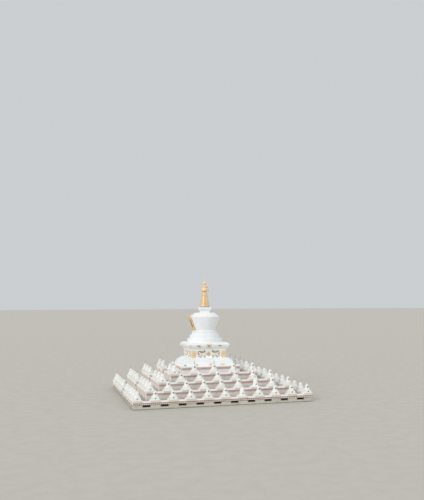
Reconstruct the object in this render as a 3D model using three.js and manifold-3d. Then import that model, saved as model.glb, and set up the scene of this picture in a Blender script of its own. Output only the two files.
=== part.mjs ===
// Half-scale model of a large terraced stupa: a square gallery storey with four stepped
// terraces, rows of small stupas along their kerbs, a stair up the left face, and the
// great stupa on top. Front is -Y, left is -X, +Z is up, origin at the centre of the base.

import * as THREE from "three";
import { mergeVertices } from "three/addons/utils/BufferGeometryUtils.js";
import Module from "manifold-3d";

const wasm = await Module();
wasm.setup();

// One metre of the real stupa, in millimetres of this half-scale model
const metre = 500;

// Terraces, counted from the ground storey up
const wallHalf = [31.3, 26.2, 21.1, 16.0, 10.9].map((value) => value * metre);
const floorLevel = [2.2, 4.5, 6.7, 8.9, 11.05].map((value) => value * metre);
const kerbHeight = 0.5 * metre;
const kerbDepth = 0.5 * metre;
const friezeHeight = 0.9 * metre;
const friezeProud = 0.06 * metre;

// Gallery storey behind the lowest wall
const slabTop = 0.1 * metre;
const wallThickness = 0.6 * metre;
const sillLevel = 0.87 * metre;
const wallTop = 1.4 * metre;
const roofUnderside = 1.9 * metre;
const windowWidth = 2.6 * metre;
const windowSpacing = 6.0 * metre;
const doorJambs = [2.95 * metre, 4.25 * metre];
const doorPierEnd = 4.55 * metre;
const thresholdTop = 0.16 * metre;

// Stair up the middle of the left face
const stairHalf = 1.9 * metre;
const cheekThickness = 0.4 * metre;
const treadDepth = 0.26 * metre;
const flightRisers = [12, 13, 13, 13];

// Rows of small stupas: distance of each row from the axis, and how many stand on a side
const rowHalf = [30.0, 24.91, 19.84, 14.68].map((value) => value * metre);
const rowCount = [11, 9, 7, 5];
const plinthHalf = 1.8 * metre;
const plinthProud = 0.15 * metre;
const plinthRise = 0.1 * metre;

// Great stupa, from the top terrace up. Square courses are half width and top level, and
// round forms are radius and level, all in metres of the real stupa
const topCopingLevel = floorLevel[4] + kerbHeight;
const topCopingHalf = wallHalf[4] + 0.1 * metre;
const plinthCourses = [[9.8, 12.0], [9.1, 12.95], [8.45, 13.5], [7.75, 14.0]];
const throneTop = 16.85;
const corniceCourses = [[7.25, 17.3], [7.6, 17.75], [7.95, 19.25], [7.3, 19.65]];
const domeStepRings = [[6.7, 21.1], [5.76, 22.45], [5.0, 23.6], [4.5, 24.3]];
const domeCurve = [
  [4.1, 24.3], [4.48, 25.6], [4.95, 27.1], [5.35, 28.2], [5.68, 29.35], [3.85, 30.85],
];
const harmikaTop = 32.95;
const ringsFoot = 33.3;
const spireTop = 39.35;

// Clearance between the niche frame and the dome it is set against
const setClearance = 0.3;

const plaster = { color: 0xeef2f2, roughness: 0.7, metalness: 0 };
const rubbleWall = { color: 0xb9a69b, roughness: 0.9, metalness: 0 };
const plinthStone = { color: 0xc9c6bf, roughness: 0.85, metalness: 0 };
const friezeBrown = { color: 0x8a5e54, roughness: 0.85, metalness: 0 };
const paving = { color: 0xa9a69d, roughness: 0.9, metalness: 0 };
const gilding = { color: 0xe0b878, roughness: 0.35, metalness: 0.8 };

const lookUp = new THREE.Matrix4().makeBasis(
  new THREE.Vector3(1, 0, 0),
  new THREE.Vector3(0, 0, 1),
  new THREE.Vector3(0, -1, 0),
);

// Turn a closed three.js geometry into a solid that can be joined and cut
function toSolid(geometry) {
  const bare = geometry.clone();
  bare.deleteAttribute("normal");
  bare.deleteAttribute("uv");
  const merged = mergeVertices(bare);
  const triangles = [];
  const index = merged.index.array;
  for (let i = 0; i < index.length; i += 3) {
    const [a, b, c] = [index[i], index[i + 1], index[i + 2]];
    if (a !== b && b !== c && c !== a) triangles.push(a, b, c);
  }
  const mesh = new wasm.Mesh({
    numProp: 3,
    vertProperties: new Float32Array(merged.attributes.position.array),
    triVerts: new Uint32Array(triangles),
  });
  return new wasm.Manifold(mesh);
}

function toGeometry(solid) {
  const mesh = solid.getMesh();
  const geometry = new THREE.BufferGeometry();
  geometry.setAttribute("position", new THREE.BufferAttribute(mesh.vertProperties, 3));
  geometry.setIndex(new THREE.BufferAttribute(mesh.triVerts, 1));
  geometry.computeVertexNormals();
  return geometry;
}

function join(geometries) {
  return toGeometry(geometries.map(toSolid).reduce((sum, solid) => sum.add(solid)));
}

// Box given by its lowest and highest corners
function box(low, high) {
  const size = high.map((value, axis) => value - low[axis]);
  const middle = high.map((value, axis) => (value + low[axis]) / 2);
  return new THREE.BoxGeometry(...size).translate(...middle);
}

// Square block centred on the axis, with its top drawn in or out when topHalf is given
function block(half, bottom, top, topHalf = half) {
  const geometry = box([-half, -half, bottom], [half, half, top]);
  const position = geometry.attributes.position;
  for (let i = 0; i < position.count; i += 1) {
    if (position.getZ(i) < top) continue;
    position.setX(i, Math.sign(position.getX(i)) * topHalf);
    position.setY(i, Math.sign(position.getY(i)) * topHalf);
  }
  return geometry;
}

// Round form about the axis from [radius, level] pairs, bottom to top
function turned(profile, sides) {
  const points = profile.map(([radius, level]) => new THREE.Vector2(radius, level));
  const geometry = new THREE.LatheGeometry(points, sides, Math.PI / sides);
  return geometry.rotateX(Math.PI / 2);
}

// Square block with a slot for the stair, cut into the middle of its left side
function slottedBlock(half, slotDepth, bottom, top) {
  const outline = new THREE.Shape([
    [-half, -half], [half, -half], [half, half], [-half, half],
    [-half, stairHalf], [slotDepth - half, stairHalf],
    [slotDepth - half, -stairHalf], [-half, -stairHalf],
  ].map(([x, y]) => new THREE.Vector2(x, y)));
  const geometry = new THREE.ExtrudeGeometry(outline, { depth: top - bottom, bevelEnabled: false });
  return geometry.translate(0, 0, bottom);
}

// Upright plate: an outline in width and height, given thickness towards -Y
function plate(outline, thickness) {
  const shape = new THREE.Shape(outline.map(([x, z]) => new THREE.Vector2(x, z)));
  const geometry = new THREE.ExtrudeGeometry(shape, { depth: thickness, bevelEnabled: false });
  return geometry.applyMatrix4(lookUp);
}

const stupa = new THREE.Group();
stupa.name = "stupa";

function addMesh(parent, name, geometry, finish) {
  const mesh = new THREE.Mesh(geometry, new THREE.MeshStandardMaterial(finish));
  mesh.name = name;
  parent.add(mesh);
  return mesh;
}

// A group turned about the axis so that its own front (-Y) faces the given side
function sideGroup(quarterTurns) {
  const group = new THREE.Group();
  group.rotation.z = quarterTurns * Math.PI / 2;
  stupa.add(group);
  return group;
}
const sides = { front: sideGroup(0), right: sideGroup(1), back: sideGroup(2), left: sideGroup(3) };

// Wall outline up to its right end, then back along its top past a notch for each window
function windowedOutline(x1, x2, firstBay, lastBay) {
  const outline = [[x1, slabTop], [x2, slabTop], [x2, wallTop]];
  for (let bay = lastBay; bay >= firstBay; bay -= 1) {
    const centre = (bay - 0.5) * windowSpacing;
    outline.push([centre + windowWidth / 2, wallTop], [centre + windowWidth / 2, sillLevel]);
    outline.push([centre - windowWidth / 2, sillLevel], [centre - windowWidth / 2, wallTop]);
  }
  return outline;
}

function galleryStorey() {
  const outer = wallHalf[0];
  const inner = outer - wallThickness;
  addMesh(stupa, "floor_slab", block(outer, 0, slabTop), paving);
  addMesh(stupa, "gallery_core", block(wallHalf[1], slabTop, roofUnderside), rubbleWall);

  // The front and back walls run the full width, and the right wall fits between them
  const placeWall = (geometry) => geometry.translate(0, -inner, 0);
  const fullWall = [...windowedOutline(-outer, outer, -4, 5), [-outer, wallTop]];
  const shortWall = [...windowedOutline(-inner, inner, -4, 5), [-inner, wallTop]];
  addMesh(sides.front, "front_wall", placeWall(plate(fullWall, wallThickness)), plinthStone);
  addMesh(sides.back, "back_wall", placeWall(plate(fullWall, wallThickness)), plinthStone);
  addMesh(sides.right, "right_wall", placeWall(plate(shortWall, wallThickness)), plinthStone);

  // The left wall is two halves, each returning inwards beside the stair, and each with a
  // doorway between piers that rise to the roof slab
  const cheekOuter = stairHalf + cheekThickness;
  const half = [
    ...windowedOutline(stairHalf, inner, 2, 5),
    [doorPierEnd, wallTop], [doorPierEnd, roofUnderside], [doorJambs[1], roofUnderside],
    [doorJambs[1], thresholdTop], [doorJambs[0], thresholdTop], [doorJambs[0], roofUnderside],
    [stairHalf, roofUnderside],
  ];
  for (const [name, sign] of [["left_wall_north", -1], ["left_wall_south", 1]]) {
    const wall = placeWall(plate(half, wallThickness));
    const cheek = box([stairHalf, -inner, slabTop], [cheekOuter, -wallHalf[1], roofUnderside]);
    const joined = join([wall, cheek]);
    if (sign < 0) mirrorAcross(joined);
    addMesh(sides.left, name, joined, plinthStone);
  }

  // Frieze beams close the window heads and carry the edge of the roof slab
  const face = outer + friezeProud;
  const longBeam = box([-face, -face, wallTop], [face, -inner, roofUnderside]);
  const shortBeam = box([-inner, -face, wallTop], [inner, -inner, roofUnderside]);
  const halfBeam = box([doorPierEnd, -face, wallTop], [inner, -inner, roofUnderside]);
  addMesh(sides.front, "front_frieze_beam", longBeam, friezeBrown);
  addMesh(sides.back, "back_frieze_beam", longBeam.clone(), friezeBrown);
  addMesh(sides.right, "right_frieze_beam", shortBeam, friezeBrown);
  addMesh(sides.left, "left_frieze_beam_south", halfBeam, friezeBrown);
  addMesh(sides.left, "left_frieze_beam_north", mirrorAcross(halfBeam.clone()), friezeBrown);

  // The roof slab is open where the stair comes up through it
  const roof = slottedBlock(face, flightRun(0), roofUnderside, floorLevel[0]);
  addMesh(stupa, "gallery_roof_slab", roof, friezeBrown);
}

// Mirror a geometry across its own x = 0 plane, keeping the faces pointing out
function mirrorAcross(geometry) {
  geometry.scale(-1, 1, 1);
  const corners = geometry.index.array;
  for (let i = 0; i < corners.length; i += 3) {
    [corners[i + 1], corners[i + 2]] = [corners[i + 2], corners[i + 1]];
  }
  return geometry;
}

function flightRun(flight) {
  return flightRisers[flight] * treadDepth;
}

function terraces() {
  for (let tier = 1; tier < wallHalf.length; tier += 1) {
    const friezeFoot = floorLevel[tier] - friezeHeight;
    const wallFace = wallHalf[tier];
    const friezeFace = wallFace + friezeProud;
    const climbed = tier < flightRisers.length;
    const course = (half, foot, top) => {
      const slot = flightRun(tier) - (friezeFace - half);
      return climbed ? slottedBlock(half, slot, foot, top) : block(half, foot, top);
    };
    const wall = course(wallFace, floorLevel[tier - 1], friezeFoot);
    const frieze = course(friezeFace, friezeFoot, floorLevel[tier]);
    addMesh(stupa, `terrace_wall_${tier + 1}`, wall, rubbleWall);
    addMesh(stupa, `terrace_frieze_${tier + 1}`, frieze, friezeBrown);
  }
}

// One straight flight of equal steps in each slot, from the foot of its terrace to the top
function stair() {
  flightRisers.forEach((risers, tier) => {
    const foot = tier === 0 ? slabTop : floorLevel[tier - 1];
    const rise = (floorLevel[tier] - foot) / risers;
    const run = flightRun(tier);
    const outline = [[run, foot], [run, floorLevel[tier]]];
    for (let step = risers - 1; step >= 0; step -= 1) {
      outline.push([step * treadDepth, foot + (step + 1) * rise]);
      outline.push([step * treadDepth, foot + step * rise]);
    }
    const flight = plate(outline, 2 * stairHalf);
    flight.translate(-wallHalf[tier] - friezeProud, stairHalf, 0);
    addMesh(stupa, `stair_flight_${tier + 1}`, flight, plaster);
  });
}

// Small stupa standing at z = 0: steps, square throne, round steps, vase dome and spire
function smallStupa() {
  const steps = block(1.5 * metre, 0, 0.45 * metre, 1.2 * metre);
  const throne = block(1.15 * metre, 0.4 * metre, 1.0 * metre);
  const upper = turned([
    [0, 0.95], [1.06, 0.95], [0.72, 1.9], [0.66, 2.35], [0.28, 2.75], [0, 4.6],
  ].map(([radius, level]) => [radius * metre, level * metre]), 8);
  return toSolid(steps).add(toSolid(throne)).add(toSolid(upper));
}

// The two plainer ones: a tall bell on a low step
function bellStupa() {
  const base = block(1.15 * metre, 0, 0.4 * metre, 1.05 * metre);
  const upper = turned([
    [0, 0.3], [0.95, 0.3], [0.8, 1.7], [0.3, 2.2], [0, 4.6],
  ].map(([radius, level]) => [radius * metre, level * metre]), 8);
  return toSolid(base).add(toSolid(upper));
}

const steppedForm = smallStupa();
const bellForm = bellStupa();

// Kerb from x1 to x2 with a plinth and a small stupa at each place along it
function stupaRow(tier, x1, x2, places, bellPlace = null) {
  const floor = floorLevel[tier];
  const kerbFace = wallHalf[tier] + friezeProud;
  const plinthFace = wallHalf[tier] + plinthProud;
  const standing = floor + kerbHeight + plinthRise;
  const limit = rowHalf[tier];
  let row = toSolid(box([x1, -kerbFace, floor], [x2, -kerbFace + kerbDepth, floor + kerbHeight]));
  for (const place of places) {
    const atCorner = Math.abs(place) > limit - 1;
    const left = place < 0 && atCorner ? -plinthFace : place - plinthHalf;
    const right = place > 0 && atCorner ? plinthFace : place + plinthHalf;
    const plinth = box([left, -plinthFace, floor], [right, -limit + plinthHalf, standing]);
    const form = place === bellPlace ? bellForm : steppedForm;
    row = row.add(toSolid(plinth)).add(form.translate(place, -limit, standing));
  }
  return toGeometry(row);
}

function rowsOfStupas() {
  for (let tier = 0; tier < rowHalf.length; tier += 1) {
    const limit = rowHalf[tier];
    const count = rowCount[tier];
    const spacing = 2 * limit / (count - 1);
    const all = Array.from({ length: count }, (_, i) => -limit + i * spacing);
    const between = all.slice(1, -1);
    const beyondStair = between.filter((place) => place > spacing / 2);
    const cornerEnd = wallHalf[tier] + friezeProud;
    const cornerPlinth = limit - plinthHalf;
    const bellPlace = [spacing, 2 * spacing, null, null][tier];
    const level = tier + 1;
    const front = stupaRow(tier, -cornerEnd, cornerEnd, all, bellPlace);
    const back = stupaRow(tier, -cornerEnd, cornerEnd, all);
    const right = stupaRow(tier, -cornerPlinth, cornerPlinth, between);
    const half = stupaRow(tier, stairHalf, cornerPlinth, beyondStair);
    addMesh(sides.front, `small_stupas_front_${level}`, front, plaster);
    addMesh(sides.back, `small_stupas_back_${level}`, back, plaster);
    addMesh(sides.right, `small_stupas_right_${level}`, right, plaster);
    addMesh(sides.left, `small_stupas_left_south_${level}`, half, plaster);
    addMesh(sides.left, `small_stupas_left_north_${level}`, mirrorAcross(half.clone()), plaster);
  }
}

// Square courses laid one on another from the given level up
function courses(foot, pairs) {
  let bottom = foot;
  return pairs.map(([half, top]) => {
    const course = block(half * metre, bottom, top * metre);
    bottom = top * metre;
    return course;
  });
}

function scaled(profile) {
  return profile.map(([radius, level]) => [radius * metre, level * metre]);
}

function throneAndCornice() {
  addMesh(stupa, "top_terrace_coping", block(topCopingHalf, floorLevel[4], topCopingLevel), plaster);
  addMesh(stupa, "central_plinth", join(courses(topCopingLevel, plinthCourses)), plaster);

  const foot = plinthCourses.at(-1)[1] * metre;
  const top = throneTop * metre;
  const bodyHalf = 6.7 * metre;
  const faceHalf = 6.95 * metre;
  const pilaster = 1.9 * metre;
  const band = 0.3 * metre;
  const pieces = [
    block(bodyHalf, foot, top),
    block(faceHalf, foot, foot + band),
    block(faceHalf, top - band, top),
  ];
  for (const [sx, sy] of [[-1, -1], [1, -1], [1, 1], [-1, 1]]) {
    const xs = [sx * faceHalf, sx * (faceHalf - pilaster)].sort((a, b) => a - b);
    const ys = [sy * faceHalf, sy * (faceHalf - pilaster)].sort((a, b) => a - b);
    pieces.push(box([xs[0], ys[0], foot], [xs[1], ys[1], top]));
  }
  addMesh(stupa, "lion_throne", join(pieces), plaster);
  addMesh(stupa, "throne_cornice", join(courses(top, corniceCourses)), plaster);
}

const [footRadius, footLevel] = domeCurve[0];
const [shoulderRadius, shoulderLevel] = domeCurve.at(-2);
const crownLevel = domeCurve.at(-1)[1];

function domeAndSteps() {
  const profile = [];
  let level = corniceCourses.at(-1)[1];
  profile.push([0, level]);
  for (const [radius, top] of domeStepRings) {
    profile.push([radius, level], [radius, top]);
    level = top;
  }
  profile.push([0, level]);
  addMesh(stupa, "dome_steps", turned(scaled(profile), 32), plaster);
  const closed = [[0, footLevel], ...domeCurve, [0, crownLevel]];
  addMesh(stupa, "dome", turned(scaled(closed), 32), plaster);
}

// Arched frame round the niche, leaning with the dome's left side and cut to fit it
function nicheFrame() {
  const lean = Math.atan2(shoulderRadius - footRadius, shoulderLevel - footLevel);
  const arch = (half, foot, spring, crown) => {
    const outline = new THREE.Shape();
    outline.moveTo(-half, foot);
    outline.lineTo(half, foot);
    outline.lineTo(half, spring);
    outline.quadraticCurveTo(half, crown - 0.4 * metre, 0, crown);
    outline.quadraticCurveTo(-half, crown - 0.4 * metre, -half, spring);
    outline.lineTo(-half, foot);
    return outline;
  };
  const outline = arch(1.75 * metre, 0.3 * metre, 3.6 * metre, 6.05 * metre);
  outline.holes.push(arch(0.95 * metre, 1.1 * metre, 3.1 * metre, 4.6 * metre));
  const depth = 1.5 * metre;
  const frame = new THREE.ExtrudeGeometry(outline, { depth, bevelEnabled: false, curveSegments: 6 });
  frame.translate(0, 0, -depth + 0.52 * metre);
  frame.applyMatrix4(lookUp);
  frame.rotateX(lean);
  frame.translate(0, -footRadius * metre, footLevel * metre);
  frame.rotateZ(-Math.PI / 2);

  // The cutter is the dome swollen by the clearance and run on a metre below its foot
  const swollen = scaled([[footRadius, footLevel - 1], ...domeCurve]);
  for (const point of swollen) point[0] += setClearance;
  swollen.at(-1)[1] += setClearance;
  const ends = [[0, swollen[0][1]], [0, swollen.at(-1)[1]]];
  const cutter = turned([ends[0], ...swollen, ends[1]], 32);
  addMesh(stupa, "niche_frame", toGeometry(toSolid(frame).subtract(toSolid(cutter))), gilding);
}

function spire() {
  const neckHalf = 1.55 * metre;
  const capHalf = 2.1 * metre;
  const neckTop = 31.5 * metre;
  const capFoot = 32.0 * metre;
  const harmika = join([
    block(neckHalf, crownLevel * metre, neckTop),
    block(neckHalf, neckTop, capFoot, capHalf),
    block(capHalf, capFoot, harmikaTop * metre),
  ]);
  addMesh(stupa, "harmika", harmika, plaster);

  const ringCount = 13;
  const lowRadius = 2.0;
  const highRadius = 0.8;
  const groove = 0.12;
  const drumRadius = 1.75;
  const pitch = (spireTop - ringsFoot) / ringCount;
  const profile = [[0, harmikaTop], [drumRadius, harmikaTop], [drumRadius, ringsFoot]];
  for (let ring = 0; ring < ringCount; ring += 1) {
    const radius = lowRadius + (highRadius - lowRadius) * ring / (ringCount - 1);
    const foot = ringsFoot + ring * pitch;
    profile.push([radius, foot], [radius - 0.02, foot + 0.7 * pitch]);
    profile.push([radius - groove, foot + 0.7 * pitch], [radius - groove, foot + pitch]);
  }
  profile.push([0, spireTop]);
  addMesh(stupa, "spire_rings", turned(scaled(profile), 16), gilding);

  const parasolTop = 41.1;
  const parasol = [
    [0, spireTop], [1.6, spireTop], [1.55, 39.65], [1.08, 40.5], [1.25, 40.9], [1.1, parasolTop],
    [0, parasolTop],
  ];
  addMesh(stupa, "parasol", turned(scaled(parasol), 16), gilding);
  const finial = [
    [0, parasolTop], [0.5, parasolTop], [0.24, 41.45], [0.5, 42.15], [0.46, 42.65], [0.2, 43.2],
    [0.18, 43.5], [0, 44.0],
  ];
  addMesh(stupa, "finial", turned(scaled(finial), 12), gilding);
}

galleryStorey();
terraces();
stair();
rowsOfStupas();
throneAndCornice();
domeAndSteps();
nicheFrame();
spire();

export default stupa;
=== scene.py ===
# Finishes and fine detail of the half-scale terraced stupa: camera, light, rows of small
# stupas, friezes, stone facing, paving, throne ornaments, dome, niche frame and spire.
import math
import random

import bmesh
import bpy
from mathutils import Matrix, Vector


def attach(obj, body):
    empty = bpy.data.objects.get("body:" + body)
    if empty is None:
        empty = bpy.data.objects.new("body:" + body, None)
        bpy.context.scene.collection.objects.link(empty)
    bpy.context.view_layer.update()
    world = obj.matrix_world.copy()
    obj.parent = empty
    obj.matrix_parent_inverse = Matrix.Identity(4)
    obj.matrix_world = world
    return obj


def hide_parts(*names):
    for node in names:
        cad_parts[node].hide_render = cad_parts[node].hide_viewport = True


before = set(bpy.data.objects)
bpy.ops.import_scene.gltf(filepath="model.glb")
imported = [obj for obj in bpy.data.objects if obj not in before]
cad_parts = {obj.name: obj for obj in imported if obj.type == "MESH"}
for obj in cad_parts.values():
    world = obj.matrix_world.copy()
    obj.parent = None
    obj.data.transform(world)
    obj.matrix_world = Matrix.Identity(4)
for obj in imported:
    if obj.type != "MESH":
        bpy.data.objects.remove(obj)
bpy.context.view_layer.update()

# All sizes below are metres of the real stupa; the model is built at half of them
HALF = 0.5

# Terraces, counted from the ground storey up
WALL_HALF = [31.3, 26.2, 21.1, 16.0, 10.9]
FLOOR = [2.2, 4.5, 6.7, 8.9, 11.05]
KERB_HEIGHT = 0.5
KERB_DEPTH = 0.5
FRIEZE_HEIGHT = 0.9
FRIEZE_PROUD = 0.06
STAIR_HALF = 1.9
STAIR_GAP = [STAIR_HALF, STAIR_HALF, STAIR_HALF, STAIR_HALF, 0]
TREAD = 0.26
FLIGHT_RISERS = [12, 13, 13, 13]

# Gallery storey
SILL = 0.87
WALL_TOP = 1.4
ROOF_UNDERSIDE = 1.9
WINDOW_WIDTH = 2.6
BAY = 6.0
BAYS = range(-4, 6)
STAIR_BAYS = (0, 1)
DOOR_JAMBS = [2.95, 4.25]
THRESHOLD = 0.16

# Rows of small stupas
ROW_HALF = [30.0, 24.91, 19.84, 14.68]
ROW_COUNT = [11, 9, 7, 5]
PLINTH_HALF = 1.8
PLINTH_PROUD = 0.15
PLINTH_RISE = 0.1
RINGS = 13

# Great stupa: square courses are half width and top, round forms are radius and level
COPING_TOP = 11.55
COPING_HALF = 11.0
PLINTH_COURSES = [(9.8, 12.0), (9.1, 12.95), (8.45, 13.5), (7.75, 14.0)]
THRONE_FOOT = 14.0
THRONE_TOP = 16.85
THRONE_BODY = 6.43
THRONE_FACE = 6.68
PILASTER = 1.9
PANEL_OUTER = 6.62
PANEL_WIDTH = 1.72
LION_SCALE = 1.14
CORNICE_TOP = 19.65
DOME_STEPS = [(6.7, 21.1), (5.76, 22.45), (5.0, 23.6)]
LOTUS_TOP = 24.3
DOME_FOOT = (4.1, 24.3)
DOME_SHOULDER = (5.68, 29.35)
DOME_CROWN = 30.85
HARMIKA_TOP = 32.95
RINGS_FOOT = 33.3
SPIRE_TOP = 39.35
PARASOL_TOP = 41.1

QUARTER_TURNS = {"front": 0, "right": 1, "back": 2, "left": 3}


def new_object(name, data):
    """Object of the given data, linked to the scene."""
    thing = bpy.data.objects.new(name, data)
    bpy.context.scene.collection.objects.link(thing)
    return thing


# Camera

def set_camera():
    """Camera at the photograph's viewing angle, solved with a slight roll."""
    place = Vector((-60.7106, -250.1379, 34.0253)) * HALF
    yaw, pitch, roll = 0.2983014, 0.1127815, -0.0049015
    focal_px, frame_height_px, sensor = 655.5611, 500, 36.0
    ahead = Vector((math.sin(yaw) * math.cos(pitch), math.cos(yaw) * math.cos(pitch),
                    math.sin(pitch)))
    level = Vector((math.cos(yaw), -math.sin(yaw), 0))
    upright = level.cross(ahead)
    right = math.cos(roll) * level + math.sin(roll) * upright
    up = -math.sin(roll) * level + math.cos(roll) * upright
    lens = bpy.data.cameras.new("camera")
    lens.sensor_width = sensor
    lens.lens = focal_px / frame_height_px * sensor
    lens.shift_x = -0.0640
    lens.shift_y = -0.0400
    lens.clip_start = 1.0
    lens.clip_end = 6000.0
    camera = new_object("camera", lens)
    turn = Matrix((right, up, -ahead)).transposed().to_4x4()
    camera.matrix_world = Matrix.Translation(place) @ turn
    bpy.context.scene.camera = camera


# Shader groups shared by the finishes

class Nodes:
    """Short calls for placing and linking shader nodes in one tree."""

    def __init__(self, tree):
        self.tree = tree

    def feed(self, socket, value):
        """Links another node's output to a socket, or sets the socket's own value."""
        if isinstance(value, bpy.types.NodeSocket):
            self.tree.links.new(value, socket)
        else:
            socket.default_value = value

    def place(self, kind, values, output=0, **settings):
        """One output of a new node, its sockets fed by label or number."""
        node = self.tree.nodes.new("ShaderNode" + kind)
        for setting, value in settings.items():
            setattr(node, setting, value)
        for label, value in values.items():
            self.feed(node.inputs[label], value)
        return node.outputs[output]

    def object_place(self, stretch=(1, 1, 1)):
        """Place on the part, in metres of the model, stretched along its axes."""
        place = self.place("TexCoord", {}, "Object")
        return self.place("Mapping", {"Vector": place, "Scale": stretch})

    def noise(self, scale, detail=4.0, stretch=(1, 1, 1)):
        """Cloudy pattern from 0 to 1, finer as the scale rises."""
        return self.place("TexNoise", {"Vector": self.object_place(stretch), "Scale": scale,
                                       "Detail": detail, "Roughness": 0.55})

    def cells(self, scale, feature="F1"):
        """Distance to the nearest centre of a pattern of cells."""
        return self.place("TexVoronoi", {"Vector": self.object_place(), "Scale": scale},
                          "Distance", feature=feature)

    def ramp(self, value, low, high, to_low=0.0, to_high=1.0):
        """Turns a value from low to high into one from to_low to to_high, with soft ends."""
        return self.place("MapRange", dict(enumerate((value, low, high, to_low, to_high))),
                          interpolation_type="SMOOTHSTEP")

    def times(self, first, second):
        """Product of two values."""
        return self.place("Math", {0: first, 1: second}, operation="MULTIPLY")

    def plus(self, first, second):
        """Sum of two values."""
        return self.place("Math", {0: first, 1: second}, operation="ADD")

    def mix(self, share, first, second):
        """The first colour turning to the second as the share rises."""
        return self.place("Mix", {"Factor": share, 6: first, 7: second}, 2, data_type="RGBA")

    def facing(self, axis):
        """How far the true surface points along +X, +Y or +Z, from -1 to 1."""
        normal = self.place("NewGeometry", {}, "True Normal")
        return self.place("SeparateXYZ", {0: normal}, axis)

    def soil_line(self, given):
        """1 below the foot level and 0 above the foot top, in metres of the model."""
        level = self.place("SeparateXYZ", {0: self.object_place()}, "Z")
        return self.ramp(level, given["Foot level"], given["Foot top"], 1.0, 0.0)

    def painted_sunlit_side(self, colour, given):
        """Painted sunlight: colour turned paler on the entrance side, which faces -X and has the most sun.
        """
        share = self.ramp(self.facing("X"), -1.0, -0.6, 1.0, 0.0)
        return self.mix(self.times(share, given["Painted sunlight amount"]), colour, given["Painted sunlight"])


def socket_value(value):
    """Number as it is, or a colour with its opacity added."""
    return (*value, 1.0) if isinstance(value, tuple) else value


def shader_group(name, inputs, build):
    """Group with the given inputs whose outputs are Colour, Roughness and Height."""
    tree = bpy.data.node_groups.new(name, "ShaderNodeTree")
    for label, value in inputs.items():
        kind = "NodeSocketColor" if isinstance(value, tuple) else "NodeSocketFloat"
        socket = tree.interface.new_socket(label, in_out="INPUT", socket_type=kind)
        socket.default_value = socket_value(value)
    kinds = {"Colour": "NodeSocketColor", "Roughness": "NodeSocketFloat", "Height": "NodeSocketFloat"}
    for label, kind in kinds.items():
        tree.interface.new_socket(label, in_out="OUTPUT", socket_type=kind)
    entry = tree.nodes.new("NodeGroupInput")
    leave = tree.nodes.new("NodeGroupOutput")
    for label, value in zip(kinds, build(Nodes(tree), entry.outputs)):
        tree.links.new(value, leave.inputs[label])
    return tree


def limewash_nodes(nodes, given):
    """Trowelled plaster under limewash: mottled, streaked by rain, dusty where it lies flat."""
    mottle = nodes.noise(0.5, 6.0)
    streaks = nodes.ramp(nodes.noise(1.4, 6.0, (2.6, 2.6, 0.16)), 0.5, 0.78)
    splashes = nodes.times(nodes.soil_line(given), nodes.ramp(nodes.noise(2.2, 5.0), 0.3, 0.62))
    flat = nodes.ramp(nodes.facing("Z"), 0.6, 1.0)
    colour = nodes.mix(nodes.ramp(mottle, 0.38, 0.68), given["Wash"], given["Shade"])
    for share, amount in ((streaks, "Stain amount"), (splashes, "Foot amount"), (flat, "Dust amount")):
        colour = nodes.mix(nodes.times(share, given[amount]), colour, given["Stain"])
    roughness = nodes.ramp(mottle, 0.3, 0.7, 0.62, 0.86)
    grain = nodes.times(nodes.noise(38.0, 3.0), 0.35)
    return colour, roughness, nodes.plus(grain, nodes.noise(4.5, 4.0))


def stone_nodes(nodes, given):
    """Dressed or rubble stone: each stone has its own tone, with mottling and pitted faces."""
    mottle = nodes.noise(3.2, 7.0)
    tone = nodes.place("Attribute", {}, "Fac", attribute_name="tone")
    colour = nodes.mix(tone, given["Pale stone"], given["Deep stone"])
    warm = nodes.times(nodes.ramp(nodes.noise(0.9, 3.0), 0.42, 0.66), 0.6)
    colour = nodes.mix(warm, colour, given["Warm stone"])
    colour = nodes.mix(nodes.ramp(mottle, 0.45, 0.75, 0.0, 0.5), colour, given["Soil"])
    colour = nodes.mix(nodes.times(nodes.soil_line(given), given["Foot amount"]), colour, given["Soil"])
    roughness = nodes.ramp(mottle, 0.3, 0.7, 0.74, 0.95)
    pits = nodes.times(nodes.noise(26.0, 5.0), 0.6)
    # On faces towards -X the stone turns paler: painted sunlight.
    return nodes.painted_sunlit_side(colour, given), roughness, nodes.plus(pits, mottle)


def paint_nodes(nodes, given):
    """Earth paint over a coarse ground: faded in patches, rubbed through, painted shade between twigs."""
    mottle = nodes.noise(1.1, 6.0)
    rubbed = nodes.times(nodes.ramp(nodes.noise(7.5, 6.0), 0.58, 0.7), given["Wear"])
    colour = nodes.mix(nodes.ramp(mottle, 0.35, 0.68), given["Paint"], given["Faded paint"])
    colour = nodes.mix(rubbed, colour, given["Ground"])
    twigs = nodes.cells(given["Twig scale"])
    # Gaps between twig ends are darkened: painted shade, beside the bump that gives their depth.
    gap_shade = nodes.times(nodes.ramp(twigs, 0.25, 0.6), given["Twig depth"])
    colour = nodes.mix(nodes.times(gap_shade, 0.7), colour, given["Gap shade"])
    roughness = nodes.ramp(mottle, 0.3, 0.7, 0.6, 0.88)
    depth = nodes.times(twigs, given["Twig depth"])
    relief = nodes.place("Math", {0: 1.0, 1: depth}, operation="SUBTRACT")
    height = nodes.plus(nodes.times(nodes.noise(30.0, 4.0), 0.3), relief)
    # On faces towards -X the paint turns paler: painted sunlight.
    return nodes.painted_sunlit_side(colour, given), roughness, height


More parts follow.
